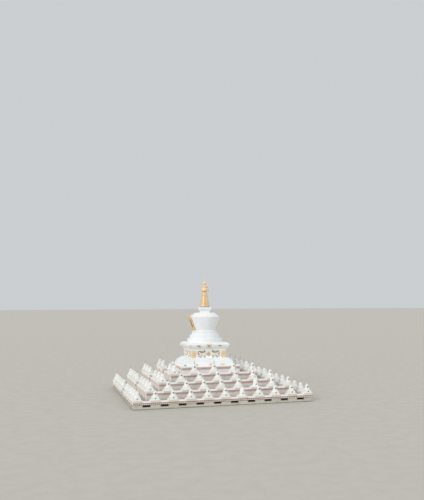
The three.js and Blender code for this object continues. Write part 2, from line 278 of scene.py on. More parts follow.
def gilding_nodes(nodes, given):
    """Gold on sheet copper: hammered, uneven in tone, dulled in patches and streaks."""
    mottle = nodes.noise(1.6, 6.0)
    streaks = nodes.ramp(nodes.noise(2.4, 5.0, (2.0, 2.0, 0.3)), 0.52, 0.74)
    dulled = nodes.times(streaks, given["Dulled"])
    colour = nodes.mix(nodes.ramp(mottle, 0.36, 0.66), given["Gold"], given["Deep gold"])
    colour = nodes.mix(dulled, colour, given["Tarnish"])
    roughness = nodes.plus(nodes.ramp(mottle, 0.3, 0.7, 0.3, 0.46), nodes.times(dulled, 0.2))
    hammered = nodes.cells(9.0, "SMOOTH_F1")
    return colour, roughness, nodes.plus(hammered, nodes.times(nodes.noise(30.0, 3.0), 0.2))


LIMEWASH = shader_group("Limewashed plaster", {
    "Wash": (0.86, 0.885, 0.89), "Shade": (0.81, 0.84, 0.85), "Stain": (0.6, 0.58, 0.53),
    "Stain amount": 0.12, "Dust amount": 0.04, "Foot level": 0.0, "Foot top": 0.1, "Foot amount": 0.0,
}, limewash_nodes)
STONE = shader_group("Weathered stone", {
    "Pale stone": (0.84, 0.82, 0.79), "Deep stone": (0.7, 0.67, 0.63), "Warm stone": (0.74, 0.66, 0.61),
    "Soil": (0.58, 0.55, 0.5), "Foot level": 0.0, "Foot top": 0.1, "Foot amount": 0.0,
    "Painted sunlight": (0.92, 0.9, 0.87), "Painted sunlight amount": 0.0,
}, stone_nodes)
PAINT = shader_group("Earth paint", {
    "Paint": (0.3, 0.17, 0.14), "Faded paint": (0.38, 0.24, 0.2), "Ground": (0.5, 0.42, 0.36),
    "Gap shade": (0.1, 0.05, 0.04), "Wear": 0.5, "Twig scale": 34.0, "Twig depth": 0.0,
    "Painted sunlight": (0.9, 0.84, 0.8), "Painted sunlight amount": 0.0,
}, paint_nodes)
GILDING = shader_group("Gilded copper", {
    "Gold": (0.93, 0.72, 0.45), "Deep gold": (0.86, 0.62, 0.36), "Tarnish": (0.46, 0.33, 0.19),
    "Dulled": 0.25,
}, gilding_nodes)


# Finishes

def finish(name, group, values, relief=0.004, metallic=0.0, specular=0.35):
    """Material whose colour, roughness and relief come from one of the groups above."""
    material = bpy.data.materials.new(name)
    material.use_nodes = True
    nodes = Nodes(material.node_tree)
    shader = nodes.tree.nodes["Principled BSDF"]
    surface = nodes.tree.nodes.new("ShaderNodeGroup")
    surface.node_tree = group
    for label, value in values.items():
        surface.inputs[label].default_value = socket_value(value)
    height = surface.outputs["Height"]
    normal = nodes.place("Bump", {"Strength": 0.6, "Distance": relief, "Height": height}, "Normal")
    for label, value in (("Base Color", surface.outputs["Colour"]), ("Normal", normal),
                         ("Roughness", surface.outputs["Roughness"]), ("Metallic", metallic),
                         ("Specular IOR Level", specular)):
        nodes.feed(shader.inputs[label], value)
    return material


def limewashed(name, wash, shade, stain_amount=0.12, more=None, relief=0.004):
    """Finish in limewash or lime render; more holds other values of the group."""
    return finish(name, LIMEWASH, {"Wash": wash, "Shade": shade, "Stain amount": stain_amount,
                                   **(more or {})}, relief)


def painted(name, paint, faded, ground, wear, painted_sunlight=0.0, more=None, relief=0.004, specular=0.35):
    """Finish in earth paint; more holds other values of the group."""
    return finish(name, PAINT, {"Paint": paint, "Faded paint": faded, "Ground": ground, "Wear": wear,
                                "Painted sunlight amount": painted_sunlight, **(more or {})}, relief, specular=specular)


def soil_foot(tier, amount):
    """Where the soil line of a terrace wall starts and ends, in metres of the model."""
    foot = FLOOR[tier - 1] * HALF
    return {"Foot level": foot + 0.05, "Foot top": foot + 0.42, "Foot amount": amount}


WHITE = finish("limewashed plaster", LIMEWASH, {})
# Whiter copy of the limewash for the throne: painted light that offsets the cornice's shade on it.
THRONE_LIT_WHITE = limewashed("limewash lightened against cornice shade", (0.98, 0.98, 0.95), (0.95, 0.96, 0.91), 0.05)
KERB_WHITE = limewashed("limewashed kerb", (0.95, 0.92, 0.91), (0.91, 0.87, 0.86), 0.06)
SMALL_WHITE = limewashed("limewashed small stupa", (0.87, 0.875, 0.85), (0.81, 0.82, 0.79), 0.1,
                         relief=0.002)
RENDER_GREY = limewashed("grey rendered wall", (0.57, 0.56, 0.475), (0.49, 0.48, 0.4), 0.4, {
    "Stain": (0.32, 0.3, 0.24), "Foot level": 0.05, "Foot top": 0.24, "Foot amount": 0.6}, 0.008)
STAIR_STONE = limewashed("cut stone treads", (0.6, 0.58, 0.54), (0.5, 0.48, 0.44), 0.35, {
    "Stain": (0.34, 0.31, 0.27), "Dust amount": 0.35}, 0.005)
LILAC = limewashed("lilac-grey neck band", (0.6, 0.55, 0.57), (0.52, 0.47, 0.49), 0.3)
# Near-black painted shade for the gallery's floor and core, seen through the windows.
GALLERY_SHADE = limewashed("painted shade of the gallery inside", (0.045, 0.04, 0.035), (0.03, 0.027, 0.024), 0.3, {
    "Stain": (0.02, 0.018, 0.016)})
STUDIO_GREY = limewashed("pale studio floor", (0.53, 0.505, 0.45), (0.515, 0.49, 0.435), 0.0, {
    "Dust amount": 0.0}, 0.001)
MORTAR = {tier: limewashed(
    f"lime mortar of terrace {tier + 1}", (0.74, 0.72, 0.68), (0.66, 0.64, 0.6),
    more={"Stain": (0.5, 0.47, 0.43), **soil_foot(tier, 0.6)}, relief=0.008) for tier in (1, 2, 3)}

# The number after the wear is painted sunlight: how much paler the finish turns on the left side.
FRIEZE = painted("rose-brown twig frieze", (0.58, 0.45, 0.4), (0.7, 0.59, 0.54), (0.76, 0.7, 0.65),
                 0.5, 0.7, {"Gap shade": (0.34, 0.25, 0.21), "Twig depth": 0.7}, 0.008)
DARK_FRIEZE = painted("dark brown frieze", (0.54, 0.41, 0.38), (0.64, 0.52, 0.48), (0.7, 0.61, 0.57),
                      0.5, 0.5, {"Gap shade": (0.3, 0.21, 0.18), "Twig depth": 0.6}, 0.008)
ROSE_ENDS = painted("faded rose beam ends", (0.74, 0.6, 0.55), (0.82, 0.71, 0.66), (0.6, 0.5, 0.44),
                    0.3, 0.6)
BROWN_TRIM = painted("dark brown fillets", (0.16, 0.09, 0.075), (0.22, 0.14, 0.12), (0.36, 0.27, 0.23),
                     0.25, 0.7)
FRIEZE_STRIP = painted("brown frieze strip", (0.23, 0.145, 0.125), (0.3, 0.2, 0.175),
                       (0.42, 0.33, 0.29), 0.3, 0.7)
WHITE_ENDS = painted("white beam ends", (0.93, 0.91, 0.88), (0.88, 0.85, 0.81), (0.6, 0.5, 0.45), 0.2)
OCHRE_BAND = painted("ochre-pink plinth band", (0.68, 0.56, 0.46), (0.74, 0.64, 0.55),
                     (0.5, 0.41, 0.34), 0.4, 0.7)
CREAM = painted("cream arch moulding", (0.76, 0.7, 0.6), (0.84, 0.79, 0.7), (0.6, 0.48, 0.34), 0.3)
PALE_CREAM = painted("pale cream moulding", (0.86, 0.82, 0.74), (0.9, 0.87, 0.8), (0.7, 0.6, 0.48), 0.3)
# Near-black painted shadow, put on flat plates where a hollow would lie in shade.
SHADOW = painted("painted recess shadow", (0.05, 0.04, 0.035), (0.09, 0.07, 0.05), (0.14, 0.11, 0.07), 0.4)
TIMBER = painted("dark stained timber", (0.05, 0.028, 0.02), (0.09, 0.05, 0.035), (0.16, 0.11, 0.08), 0.4)
SMALL_SPIRE = painted("tan small spire", (0.56, 0.48, 0.39), (0.66, 0.59, 0.5), (0.45, 0.36, 0.28), 0.3,
                      specular=0.5)
JEWEL_TAN = painted("tan painted jewel", (0.5, 0.37, 0.28), (0.58, 0.45, 0.35), (0.3, 0.2, 0.14), 0.4)
LION_COAT = painted("cream lion coat", (0.82, 0.78, 0.7), (0.86, 0.83, 0.77), (0.6, 0.52, 0.42), 0.3)
LION_CURLS = painted("tan lion curls", (0.42, 0.29, 0.2), (0.55, 0.42, 0.31), (0.24, 0.16, 0.11), 0.5)
MANE = painted("dark green mane", (0.035, 0.035, 0.025), (0.07, 0.065, 0.045), (0.2, 0.16, 0.11), 0.25)
SUNLIT_LION_CURLS = painted("lion curls in painted sunlight", (0.7, 0.62, 0.53), (0.78, 0.72, 0.64), (0.5, 0.42, 0.34), 0.4)

GILT = finish("gilded copper", GILDING, {}, 0.008, 0.6, 0.5)
PALE_GILT = finish("pale gilding", GILDING, {
    "Gold": (0.92, 0.7, 0.4), "Deep gold": (0.84, 0.6, 0.32), "Dulled": 0.2}, 0.006, 0.4, 0.5)
PANEL_GILT = finish("pale gilded panel", GILDING, {
    "Gold": (0.9, 0.73, 0.44), "Deep gold": (0.84, 0.66, 0.38), "Dulled": 0.1}, 0.006, 0.3, 0.5)
OLIVE_GILT = finish("dulled gilding", GILDING, {
    "Gold": (0.36, 0.28, 0.12), "Deep gold": (0.26, 0.2, 0.08), "Tarnish": (0.12, 0.095, 0.05),
    "Dulled": 0.7}, 0.006, 0.7)

SLABS = finish("worn paving slabs", STONE, {
    "Pale stone": (0.56, 0.53, 0.49), "Deep stone": (0.43, 0.41, 0.37), "Warm stone": (0.5, 0.45, 0.39),
    "Soil": (0.36, 0.33, 0.28)})
WHITED_STONE = {"Pale stone": (0.97, 0.97, 0.97), "Deep stone": (0.95, 0.95, 0.95),
                "Warm stone": (0.96, 0.95, 0.95), "Soil": (0.93, 0.93, 0.93)}
# On the left side the rubble turns paler: painted sunlight.
RUBBLE = {tier: finish(f"rubble of terrace {tier + 1}", STONE, {
    **(WHITED_STONE if tier == 4 else {}), **soil_foot(tier, 0.5), "Painted sunlight amount": 0.6}, 0.012)
          for tier in (1, 2, 3, 4)}


# Shapes: faces are gathered in metres of the real stupa, in the frame of the side they are on

def compass(sides, start=0.5):
    """Cosine and sine of evenly spaced angles, the first of them start steps round."""
    angles = [2 * math.pi * (i + start) / sides for i in range(sides)]
    return [(math.cos(angle), math.sin(angle)) for angle in angles]


def about_axis(share):
    """Turn about the upright axis by a share of a full circle."""
    return Matrix.Rotation(2 * math.pi * share, 4, "Z")


def side_turn(side):
    """Turn that brings the front's frame to the given side."""
    return about_axis(QUARTER_TURNS[side] / 4)


def lifted(section, level):
    """Pairs of a distance and a height, with all heights raised by a level."""
    return [(out, level + height) for out, height in section]


class Work:
    """Points and faces of one piece, with a finish number and a tone for every face."""

    def __init__(self):
        self.points = []
        self.faces = []
        self.finishes = []
        self.tones = []

    def add(self, points, faces, numbers, tone=0.5):
        """Adds points and faces, with one finish number for all faces or a list with one for each."""
        start = len(self.points)
        self.points += [Vector(point) for point in points]
        self.faces += [tuple(start + i for i in face) for face in faces]
        self.finishes += [numbers] * len(faces) if isinstance(numbers, int) else numbers
        self.tones += [tone] * len(faces)

    def take(self, other, place=Matrix.Identity(4)):
        """Adds a copy of another work's faces, moved by place."""
        start = len(self.points)
        self.points += [place @ point for point in other.points]
        self.faces += [tuple(start + i for i in face) for face in other.faces]
        self.finishes += other.finishes
        self.tones += other.tones

    def take_round(self, other, sunlit_left_finish=None):
        """Adds another work's faces on all four sides; the left may take a paler finish: painted sunlight.
        """
        for side in QUARTER_TURNS:
            self.take(other, side_turn(side))
        if sunlit_left_finish is not None:
            count = len(other.finishes)
            self.finishes[-count:] = [sunlit_left_finish] * count

    def loft(self, rings, numbers=0, tone=0.5):
        """Closed rings of equal length joined in order, with the first and last one capped.
        A list of finish numbers gives one for each band between two rings."""
        around = len(rings[0])
        bands = len(rings) - 1
        if isinstance(numbers, int):
            numbers = [numbers] * bands
        faces = [tuple(reversed(range(around)))]
        face_numbers = [numbers[0]]
        for band in range(bands):
            low = band * around
            high = low + around
            for i in range(around):
                after = (i + 1) % around
                faces.append((low + i, low + after, high + after, high + i))
                face_numbers.append(numbers[band])
        faces.append(tuple(range(bands * around, (bands + 1) * around)))
        face_numbers.append(numbers[-1])
        self.add([point for ring in rings for point in ring], faces, face_numbers, tone)

    def turned(self, profile, sides, number=0):
        """Round form about the axis from (radius, level) pairs."""
        self.loft([[(radius * across, radius * deep, level) for across, deep in compass(sides)]
                   for radius, level in profile], number)

    def courses(self, rect, profile, numbers=0, tone=0.5):
        """Rectangular form from (distance out from the rectangle, level) pairs."""
        x0, x1, y0, y1 = rect
        rings = [[(x0 - out, y0 - out, level), (x1 + out, y0 - out, level),
                  (x1 + out, y1 + out, level), (x0 - out, y1 + out, level)]
                 for out, level in profile]
        self.loft(rings, numbers, tone)

    def squared(self, profile, number=0):
        """Square form about the axis from (half width, level) pairs."""
        self.courses((0, 0, 0, 0), profile, number)

    def block(self, low, high, number=0, edge=0.02):
        """Box with its upper edges eased."""
        rect = (low[0], high[0], low[1], high[1])
        self.courses(rect, [(0, low[2]), (0, high[2] - edge), (-edge, high[2])], number)

    def run(self, face, section, x0, x1, number=0, mitres=(0, 0)):
        """Moulding along a wall face at y = -face, from (out, level) pairs going round it."""
        self.loft([[(x + lap * out, -face - out, level) for out, level in section]
                   for x, lap in ((x0, -mitres[0]), (x1, mitres[1]))], number)

    def boss(self, x, level, face, radius, depth, number=0, sides=8, dish=0.72):
        """Low round boss on a wall face at y = -face."""
        self.loft([[(x + r * across, -face - out, level + r * up) for across, up in compass(sides)]
                   for r, out in ((radius, 0.0), (radius, 0.6 * depth), (dish * radius, depth))], number)

    def tube(self, path, radii, sides=8, number=0):
        """Round bar along a path, with a radius for every point of it."""
        path = [Vector(point) for point in path]
        rings = []
        side = None
        for i, point in enumerate(path):
            ahead = (path[min(i + 1, len(path) - 1)] - path[max(i - 1, 0)]).normalized()
            if side is None:
                side = ahead.orthogonal().normalized()
            side = (side - ahead * side.dot(ahead)).normalized()
            other = ahead.cross(side)
            rings.append([point + radii[i] * (across * side + up * other)
                          for across, up in compass(sides, 0)])
        self.loft(rings, number)

    def plate(self, outline, back, front, number=0, edge=0.03):
        """Upright plate facing -Y from an outline in (x, level), with its front edges eased."""
        outline = [Vector(point) for point in outline]
        middle = sum(outline, Vector((0, 0))) / len(outline)
        eased = []
        for point in outline:
            towards = middle - point
            eased.append(point + towards.normalized() * min(edge, towards.length * 0.5))
        rings = ((outline, back), (outline, front - edge), (eased, front))
        self.loft([[(x, -out, level) for x, level in ring] for ring, out in rings], number)


def make_piece(name, work, finishes, replaces=(), sharp=38.0):
    """Mesh object of a finished work, riding on the part's one body."""
    mesh = bpy.data.meshes.new(name)
    mesh.from_pydata([point * HALF for point in work.points], [], work.faces)
    for material in finishes:
        mesh.materials.append(material)
    mesh.polygons.foreach_set("material_index", work.finishes)
    tones = mesh.attributes.new("tone", "FLOAT", "FACE")
    tones.data.foreach_set("value", work.tones)
    shell = bmesh.new()
    shell.from_mesh(mesh)
    bmesh.ops.recalc_face_normals(shell, faces=shell.faces)
    for face in shell.faces:
        face.smooth = True
    shell.to_mesh(mesh)
    shell.free()
    mesh.set_sharp_from_angle(angle=math.radians(sharp))
    piece = new_object(name, mesh)
    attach(piece, "root")
    if replaces:
        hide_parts(*replaces)


# Rows of small stupas

BODY, BAND, TRIM, DARK, SPIRE, KERB = range(6)
ROW_FINISHES = [SMALL_WHITE, OCHRE_BAND, BROWN_TRIM, SHADOW, SMALL_SPIRE, KERB_WHITE]
SMALL_DOME_TOP = 2.7
SMALL_RINGS_TOP = 3.95

# Sections as (distance out, height above the floor); each plinth hangs a little below the kerb,
# over the head of the frieze, and every band of it has its own finish
KERB_SECTION = [(0, 0), (0, 0.32), (0.05, 0.36), (0.05, 0.46), (0.02, 0.5), (-0.48, 0.5), (-0.5, 0.48),
                (-0.5, 0)]
PLINTH_SECTION = [(-0.03, -0.26), (-0.01, -0.18), (-0.01, -0.14), (0, -0.1), (0, 0.12), (0.03, 0.15),
                  (0.03, 0.2), (0, 0.23), (0, 0.46), (0.05, 0.5), (0.05, 0.57), (0.02, 0.6)]
PLINTH_BANDS = [TRIM, TRIM, BAND, BAND, BAND, BODY, BAND, BAND, BAND, BODY, BODY]


def small_spire(work):
    """Harmika, collar, lotus, thirteen rings, parasol and finial on a small stupa's dome."""
    half, lip, foot = 0.26, 0.33, SMALL_DOME_TOP
    box_top = foot + 0.2
    rings_foot = box_top + 0.22
    work.squared([(half, foot), (half, box_top - 0.03), (lip, box_top)], BODY)
    work.squared([(lip, box_top), (lip, box_top + 0.06), (0.24, box_top + 0.09)], BODY)
    work.turned(lifted([(0.22, 0.09), (0.26, 0.13), (0.25, 0.19), (0.2, 0.22)], box_top), 12, BODY)
    lowest, highest = 0.22, 0.08
    pitch = (SMALL_RINGS_TOP - rings_foot) / RINGS
    profile = []
    for ring in range(RINGS):
        radius = lowest - (lowest - highest) * ring / (RINGS - 1)
        profile += lifted([(radius, 0), (radius - 0.008, 0.66 * pitch), (radius - 0.03, 0.74 * pitch)],
                          rings_foot + ring * pitch)
    work.turned(profile, 10, SPIRE)
    parasol = [(0.17, 0), (0.16, 0.05), (0.09, 0.16), (0.05, 0.2)]
    finial = [(0.05, 0.2), (0.09, 0.32), (0.045, 0.42), (0.03, 0.5), (0.008, 0.68)]
    work.turned(lifted(parasol, SMALL_RINGS_TOP), 10, SPIRE)
    work.turned(lifted(finial, SMALL_RINGS_TOP), 8, SPIRE)


def arch_outline(half, foot, spring, crown, steps=6):
    """Pointed arch outline as (across, level) points, from the foot round to the foot."""
    right = []
    for i in range(steps):
        angle = math.pi / 2 * i / steps
        right.append((half * math.cos(angle) ** 0.8, spring + (crown - spring) * math.sin(angle)))
    left = [(-x, level) for x, level in reversed(right)]
    return [(half, foot), *right, (0, crown), *left, (-half, foot)]


def small_stupa(niche, panel):
    """Steps, square throne, round steps, vase dome and spire, with the finishes of the niche and of
    the throne's panel, which both look outwards."""
    work = Work()
    level = 0.0
    for half, top in ((1.56, 0.14), (1.4, 0.27), (1.24, 0.4), (1.12, 0.84), (1.19, 0.96), (1.1, 1.02)):
        work.squared([(half - 0.03, level), (half, level + 0.03), (half, top - 0.03), (half - 0.03, top)])
        level = top
    for radius, top in ((1.06, 1.26), (0.94, 1.48), (0.83, 1.69), (0.73, 1.88)):
        work.turned([(radius - 0.02, level), (radius - 0.02, top - 0.08), (radius, top - 0.06),
                     (radius, top - 0.02), (radius - 0.03, top)], 20)
        level = top
    work.turned([(0.56, 1.88), (0.6, 1.92), (0.62, 2.05), (0.65, 2.22), (0.67, 2.4), (0.65, 2.5),
                 (0.54, 2.62), (0.36, SMALL_DOME_TOP)], 20)
    # Niche frame and niche, panel frame and panel; a dark niche or panel is painted shade.
    work.plate(arch_outline(0.29, 1.94, 2.2, 2.47), 0.5, 0.74, BODY, edge=0.02)
    work.plate(arch_outline(0.24, 1.97, 2.2, 2.4), 0.6, 0.76, niche, edge=0.005)
    work.plate(arch_outline(0.25, 0.44, 0.66, 0.84), 1.05, 1.15, BODY, edge=0.02)
    work.plate(arch_outline(0.19, 0.46, 0.64, 0.8), 1.1, 1.17, panel, edge=0.005)
    small_spire(work)
    return work


def bell_stupa():
    """The plainer kind: a tall bell on a low step, with its niche lower down."""
    work = Work()
    work.squared([(1.3, 0.0), (1.3, 0.16), (1.26, 0.19)])
    work.squared([(1.16, 0.19), (1.16, 0.32), (1.12, 0.35)])
    work.turned([(1.02, 0.35), (1.04, 0.42), (0.94, 0.56), (0.88, 0.8), (0.85, 1.2), (0.81, 1.65),
                 (0.74, 2.05), (0.62, 2.38), (0.47, 2.6), (0.33, SMALL_DOME_TOP)], 24)
    work.plate(arch_outline(0.22, 0.62, 0.95, 1.25), 0.8, 0.93, BODY, edge=0.02)
    # The bell's niche is a flat plate in painted shade.
    work.plate(arch_outline(0.15, 0.66, 0.94, 1.17), 0.88, 0.94, DARK, edge=0.005)
    small_spire(work)
    return work


def dentils(work, x0, x1, face, low, high, pitch, depth, number, share=0.28):
    """Row of small blocks standing out from a wall face, each share of the pitch to either side."""
    count = round((x1 - x0) / pitch)
    step = (x1 - x0) / count
    for i in range(count):
        middle = x0 + (i + 0.5) * step
        work.block((middle - share * step, -face - depth, low), (middle + share * step, -face, high),
                   number, edge=0.01)


# Niches carry painted shade, a near-black plate where a hollow would lie in shadow, and on the lowest
# row so does the panel in the throne; at the left corners and on the left side only the panel carries it
TWO_DARK = small_stupa(DARK, DARK)
DARK_NICHE = small_stupa(DARK, BODY)
DARK_PANEL = small_stupa(BODY, DARK)
BELL = bell_stupa()


def stupa_row(tier, x1, x2, places, bell_place=None, niches_dark=True):
    """Kerb between the plinths, and a plinth with its small stupa at every place."""
    work = Work()
    floor = FLOOR[tier]
    limit = ROW_HALF[tier]
    plinth_face = WALL_HALF[tier] + PLINTH_PROUD
    standing = floor + KERB_HEIGHT + PLINTH_RISE
    lip, tuck = 0.05, 0.06
    teeth_low, teeth_high, teeth_pitch, teeth_depth = 0.32, 0.44, 0.24, 0.035
    edges = [x1]
    for place in places:
        at_corner = abs(place) > limit - 1
        left = -plinth_face if place < 0 and at_corner else place - PLINTH_HALF
        right = plinth_face if place > 0 and at_corner else place + PLINTH_HALF
        rect = (left + lip, right - lip, -plinth_face + lip, -limit + PLINTH_HALF - lip)
        work.courses(rect, lifted(PLINTH_SECTION, floor), PLINTH_BANDS)
        dentils(work, left + lip, right - lip, plinth_face - lip, floor + teeth_low,
                floor + teeth_high, teeth_pitch, teeth_depth, BODY)
        if bell_place is not None and abs(place - bell_place) < 0.5:
            form = BELL
        elif niches_dark and not (at_corner and place < 0):
            form = DARK_NICHE if tier else TWO_DARK
        else:
            form = DARK_PANEL
        work.take(form, Matrix.Translation((place, -limit, standing)))
        edges += [left, right]
    edges.append(x2)
    for start, end in zip(edges[0::2], edges[1::2]):
        if end - start > tuck:
            work.run(WALL_HALF[tier] + FRIEZE_PROUD, lifted(KERB_SECTION, floor), start - tuck,
                     end + tuck, KERB)
    return work


def rows_of_stupas():
    """Five rows on each of the lower four levels; on the left the stair splits the row in two."""
    for tier, limit in enumerate(ROW_HALF):
        spacing = 2 * limit / (ROW_COUNT[tier] - 1)
        places = [-limit + i * spacing for i in range(ROW_COUNT[tier])]
        between = places[1:-1]
        beyond_stair = [place for place in between if place > spacing / 2]
        corner = WALL_HALF[tier] + PLINTH_PROUD
        inner = limit - PLINTH_HALF
        bell_place = {0: spacing, 1: 2 * spacing}.get(tier)
        half_row = stupa_row(tier, STAIR_HALF + 0.06, inner, beyond_stair, niches_dark=False)
        mirrored = Work()
        mirrored.take(half_row, Matrix.Scale(-1, 4, (1, 0, 0)))
        rows = {
            "front": ("front", stupa_row(tier, -corner, corner, places, bell_place)),
            "back": ("back", stupa_row(tier, -corner, corner, places)),
            "right": ("right", stupa_row(tier, -inner, inner, between)),
            "left_south": ("left", half_row),
            "left_north": ("left", mirrored),
        }
        for name, (side, row) in rows.items():
            turned_row = Work()
            turned_row.take(row, side_turn(side))
            make_piece(f"stupa_row_{name}_{tier + 1}", turned_row, ROW_FINISHES,
                       [f"small_stupas_{name}_{tier + 1}"])


# Friezes: fillets, fringes of dentils and rows of round beam ends on every level

TRIM_ROSE, TRIM_DARK, TRIM_WHITE = range(3)


def wall_spans(half, gap=0):
    """Every stretch of wall as (side, start, end, mitres); a gap for the stair splits the left."""
    for side in QUARTER_TURNS:
        if side == "left" and gap:
            yield side, -half, -gap, (1, 0)
            yield side, gap, half, (0, 1)
        else:
            yield side, -half, half, (1, 1)


def beam_ends(work, start, end, face, level, pitch, radius, number, depth, sides=8):
    """Row of round beam ends on a wall face."""
    count = int((end - start) / pitch)
    step = (end - start) / count
    for i in range(count):
        work.boss(start + (i + 0.5) * step, level, face, radius, depth, number, sides)


def frieze_parts(tier):
    """Fillets as (low, high, depth, finish), dentils as (low, high, pitch, depth, finish, share of
    the pitch) and beam ends as (level, pitch, radius, finish, depth) of one level."""
    top = FLOOR[tier]
    if tier == 0:
        fillets = [(WALL_TOP, WALL_TOP + 0.07, 0.05, TRIM_DARK),
                   (WALL_TOP + 0.07, ROOF_UNDERSIDE - 0.02, 0.02, TRIM_DARK),
                   (ROOF_UNDERSIDE, ROOF_UNDERSIDE + 0.06, 0.07, TRIM_DARK)]
        return fillets, [], [(WALL_TOP + 0.27, 0.66, 0.2, TRIM_WHITE, 0.12)]
    if tier == 4:
        fillets = [(top - 0.89, top - 0.7, 0.02, TRIM_WHITE), (top - 0.12, top - 0.04, 0.08, TRIM_ROSE)]
        teeth = [(top - 0.36, top - 0.14, 0.8, 0.09, TRIM_ROSE, 0.2),
                 (top - 0.86, top - 0.66, 0.8, 0.06, TRIM_DARK, 0.25)]
        return fillets, teeth, []
    fillets = [(top - FRIEZE_HEIGHT, top - FRIEZE_HEIGHT + 0.08, 0.04, TRIM_ROSE),
               (top - 0.56, top - 0.14, 0.02, TRIM_DARK),
               (top - 0.13, top - 0.01, 0.03, TRIM_WHITE)]
    teeth = [(top - 0.48, top - 0.26, 0.7, 0.1, TRIM_ROSE, 0.22)]
    return fillets, teeth, [(top - 0.69, 0.5, 0.1, TRIM_ROSE, 0.04)]


def friezes():
    """Trim of every level's frieze, run along all its walls."""
    for tier in range(5):
        face = WALL_HALF[tier] + FRIEZE_PROUD
        fillets, teeth, ends = frieze_parts(tier)
        all_sides = Work()
        for side, start, end, mitres in wall_spans(face, STAIR_GAP[tier]):
            work = Work()
            for low, high, out, number in fillets:
                section = [(0, low), (out, low + 0.02), (out, high - 0.02), (0, high)]
                work.run(face, section, start, end, number, mitres)
            for row in teeth:
                dentils(work, start, end, face, *row)
            for row in ends:
                beam_ends(work, start, end, face, *row)
            all_sides.take(work, side_turn(side))
        make_piece(f"frieze_trim_{tier + 1}", all_sides, [ROSE_ENDS, FRIEZE_STRIP, WHITE_ENDS])


# Stone facing of the terrace walls, and paving of the terrace floors

def stone_course(work, dice, start, end, face, low, high):
    """One course of roughly squared stones of uneven length and depth."""
    half_joint, ease, shortest, embed = 0.01, 0.02, 0.3, 0.02
    foot, head = low + half_joint, high - half_joint
    x = start
    while x < end - 0.05:
        length = min(dice.uniform(0.38, 0.9), end - x)
        if end - (x + length) < shortest:
            length = end - x
        out = dice.uniform(0.015, 0.045)
        tone = dice.random()
        left, right = x + half_joint, x + length - half_joint
        outline = [(left, foot), (right, foot), (right, head), (left, head)]
        eased = [(left + ease, foot + ease), (right - ease, foot + ease),
                 (right - ease, head - ease), (left + ease, head - ease)]
        rings = ((outline, -embed), (outline, 0.4 * out), (eased, out))
        work.loft([[(px, -face - proud, pz) for px, pz in ring] for ring, proud in rings], 0, tone)
        x += length


def stone_facing():
    """Five courses of stones on each terrace wall, between its foot and its frieze."""
    dice = random.Random(11)
    count = 5
    for tier in (1, 2, 3, 4):
        face = WALL_HALF[tier]
        foot = FLOOR[tier - 1]
        rise = (FLOOR[tier] - FRIEZE_HEIGHT - foot) / count
        all_sides = Work()
        for side, start, end, _ in wall_spans(face, STAIR_GAP[tier]):
            work = Work()
            for course in range(count):
                low = foot + course * rise
                stone_course(work, dice, start, end, face, low, low + rise)
            all_sides.take(work, side_turn(side))
        make_piece(f"stone_facing_{tier + 1}", all_sides, [RUBBLE[tier]])


def paved_strip(work, dice, rect, level):
    """Rectangle of ground laid with slabs, their joints open and their edges eased."""
    x0, x1, y0, y1 = rect
    slab, thickness, gap, ease = 1.0, 0.03, 0.012, 0.01
    columns = max(1, round((x1 - x0) / slab))
    rows = max(1, round((y1 - y0) / slab))
    wide, deep = (x1 - x0) / columns, (y1 - y0) / rows
    for column in range(columns):
        for row in range(rows):
            left, near = x0 + column * wide, y0 + row * deep
            top = level + thickness - dice.uniform(0, 0.006)
            stone = (left + gap, left + wide - gap, near + gap, near + deep - gap)
            work.courses(stone, [(0, level), (0, top - ease), (-ease, top)], 0, dice.random())


def paving():
    """Slabs on the lower four floors, with the stair's landing between the left strips."""
    dice = random.Random(5)
    for tier, level in enumerate(FLOOR[:4]):
        inner = WALL_HALF[tier + 1] + 0.04
        outer = WALL_HALF[tier] + FRIEZE_PROUD - KERB_DEPTH
        landing = -WALL_HALF[tier] - FRIEZE_PROUD + FLIGHT_RISERS[tier] * TREAD
        work = Work()
        for rect in ((-outer, outer, -outer, -inner), (-outer, outer, inner, outer),
                     (inner, outer, -inner, inner), (-outer, -inner, -inner, -STAIR_HALF),
                     (-outer, -inner, STAIR_HALF, inner), (landing, -inner, -STAIR_HALF, STAIR_HALF)):
            paved_strip(work, dice, rect, level)
        make_piece(f"paving_{tier + 1}", work, [SLABS])


# Gallery storey: window frames, sills and door frames

def window_frame(work, centre):
    """Timber frame with five posts, set back in the opening, over a timber sill."""
    half, thick, depth, set_back, horn = WINDOW_WIDTH / 2, 0.05, 0.08, 0.24, 0.12
    wall = WALL_HALF[0]
    face = wall - set_back
    back = face - depth
    for x in (-half, -half / 2, 0.0, half / 2, half):
        left = centre + max(-half, min(half - thick, x - thick / 2))
        work.block((left, -face, SILL), (left + thick, -back, WALL_TOP))
    for low in (SILL, WALL_TOP - thick):
        work.block((centre - half, -face - 0.01, low), (centre + half, -back, low + thick))
    work.block((centre - half - horn, -wall - 0.06, SILL - 0.09),
               (centre + half + horn, -wall + 0.05, SILL + 0.01))


def door_frame(work, sign):
    """Timber jambs and head of the doorway on one side of the stair."""
    face, depth, thick = WALL_HALF[0] - 0.1, 0.14, 0.12
    left, right = sorted(sign * jamb for jamb in DOOR_JAMBS)
    for x in (left, right - thick):
        work.block((x, -face, THRESHOLD), (x + thick, -face + depth, ROOF_UNDERSIDE))
    work.block((left, -face - 0.02, ROOF_UNDERSIDE - thick), (right, -face + depth, ROOF_UNDERSIDE))


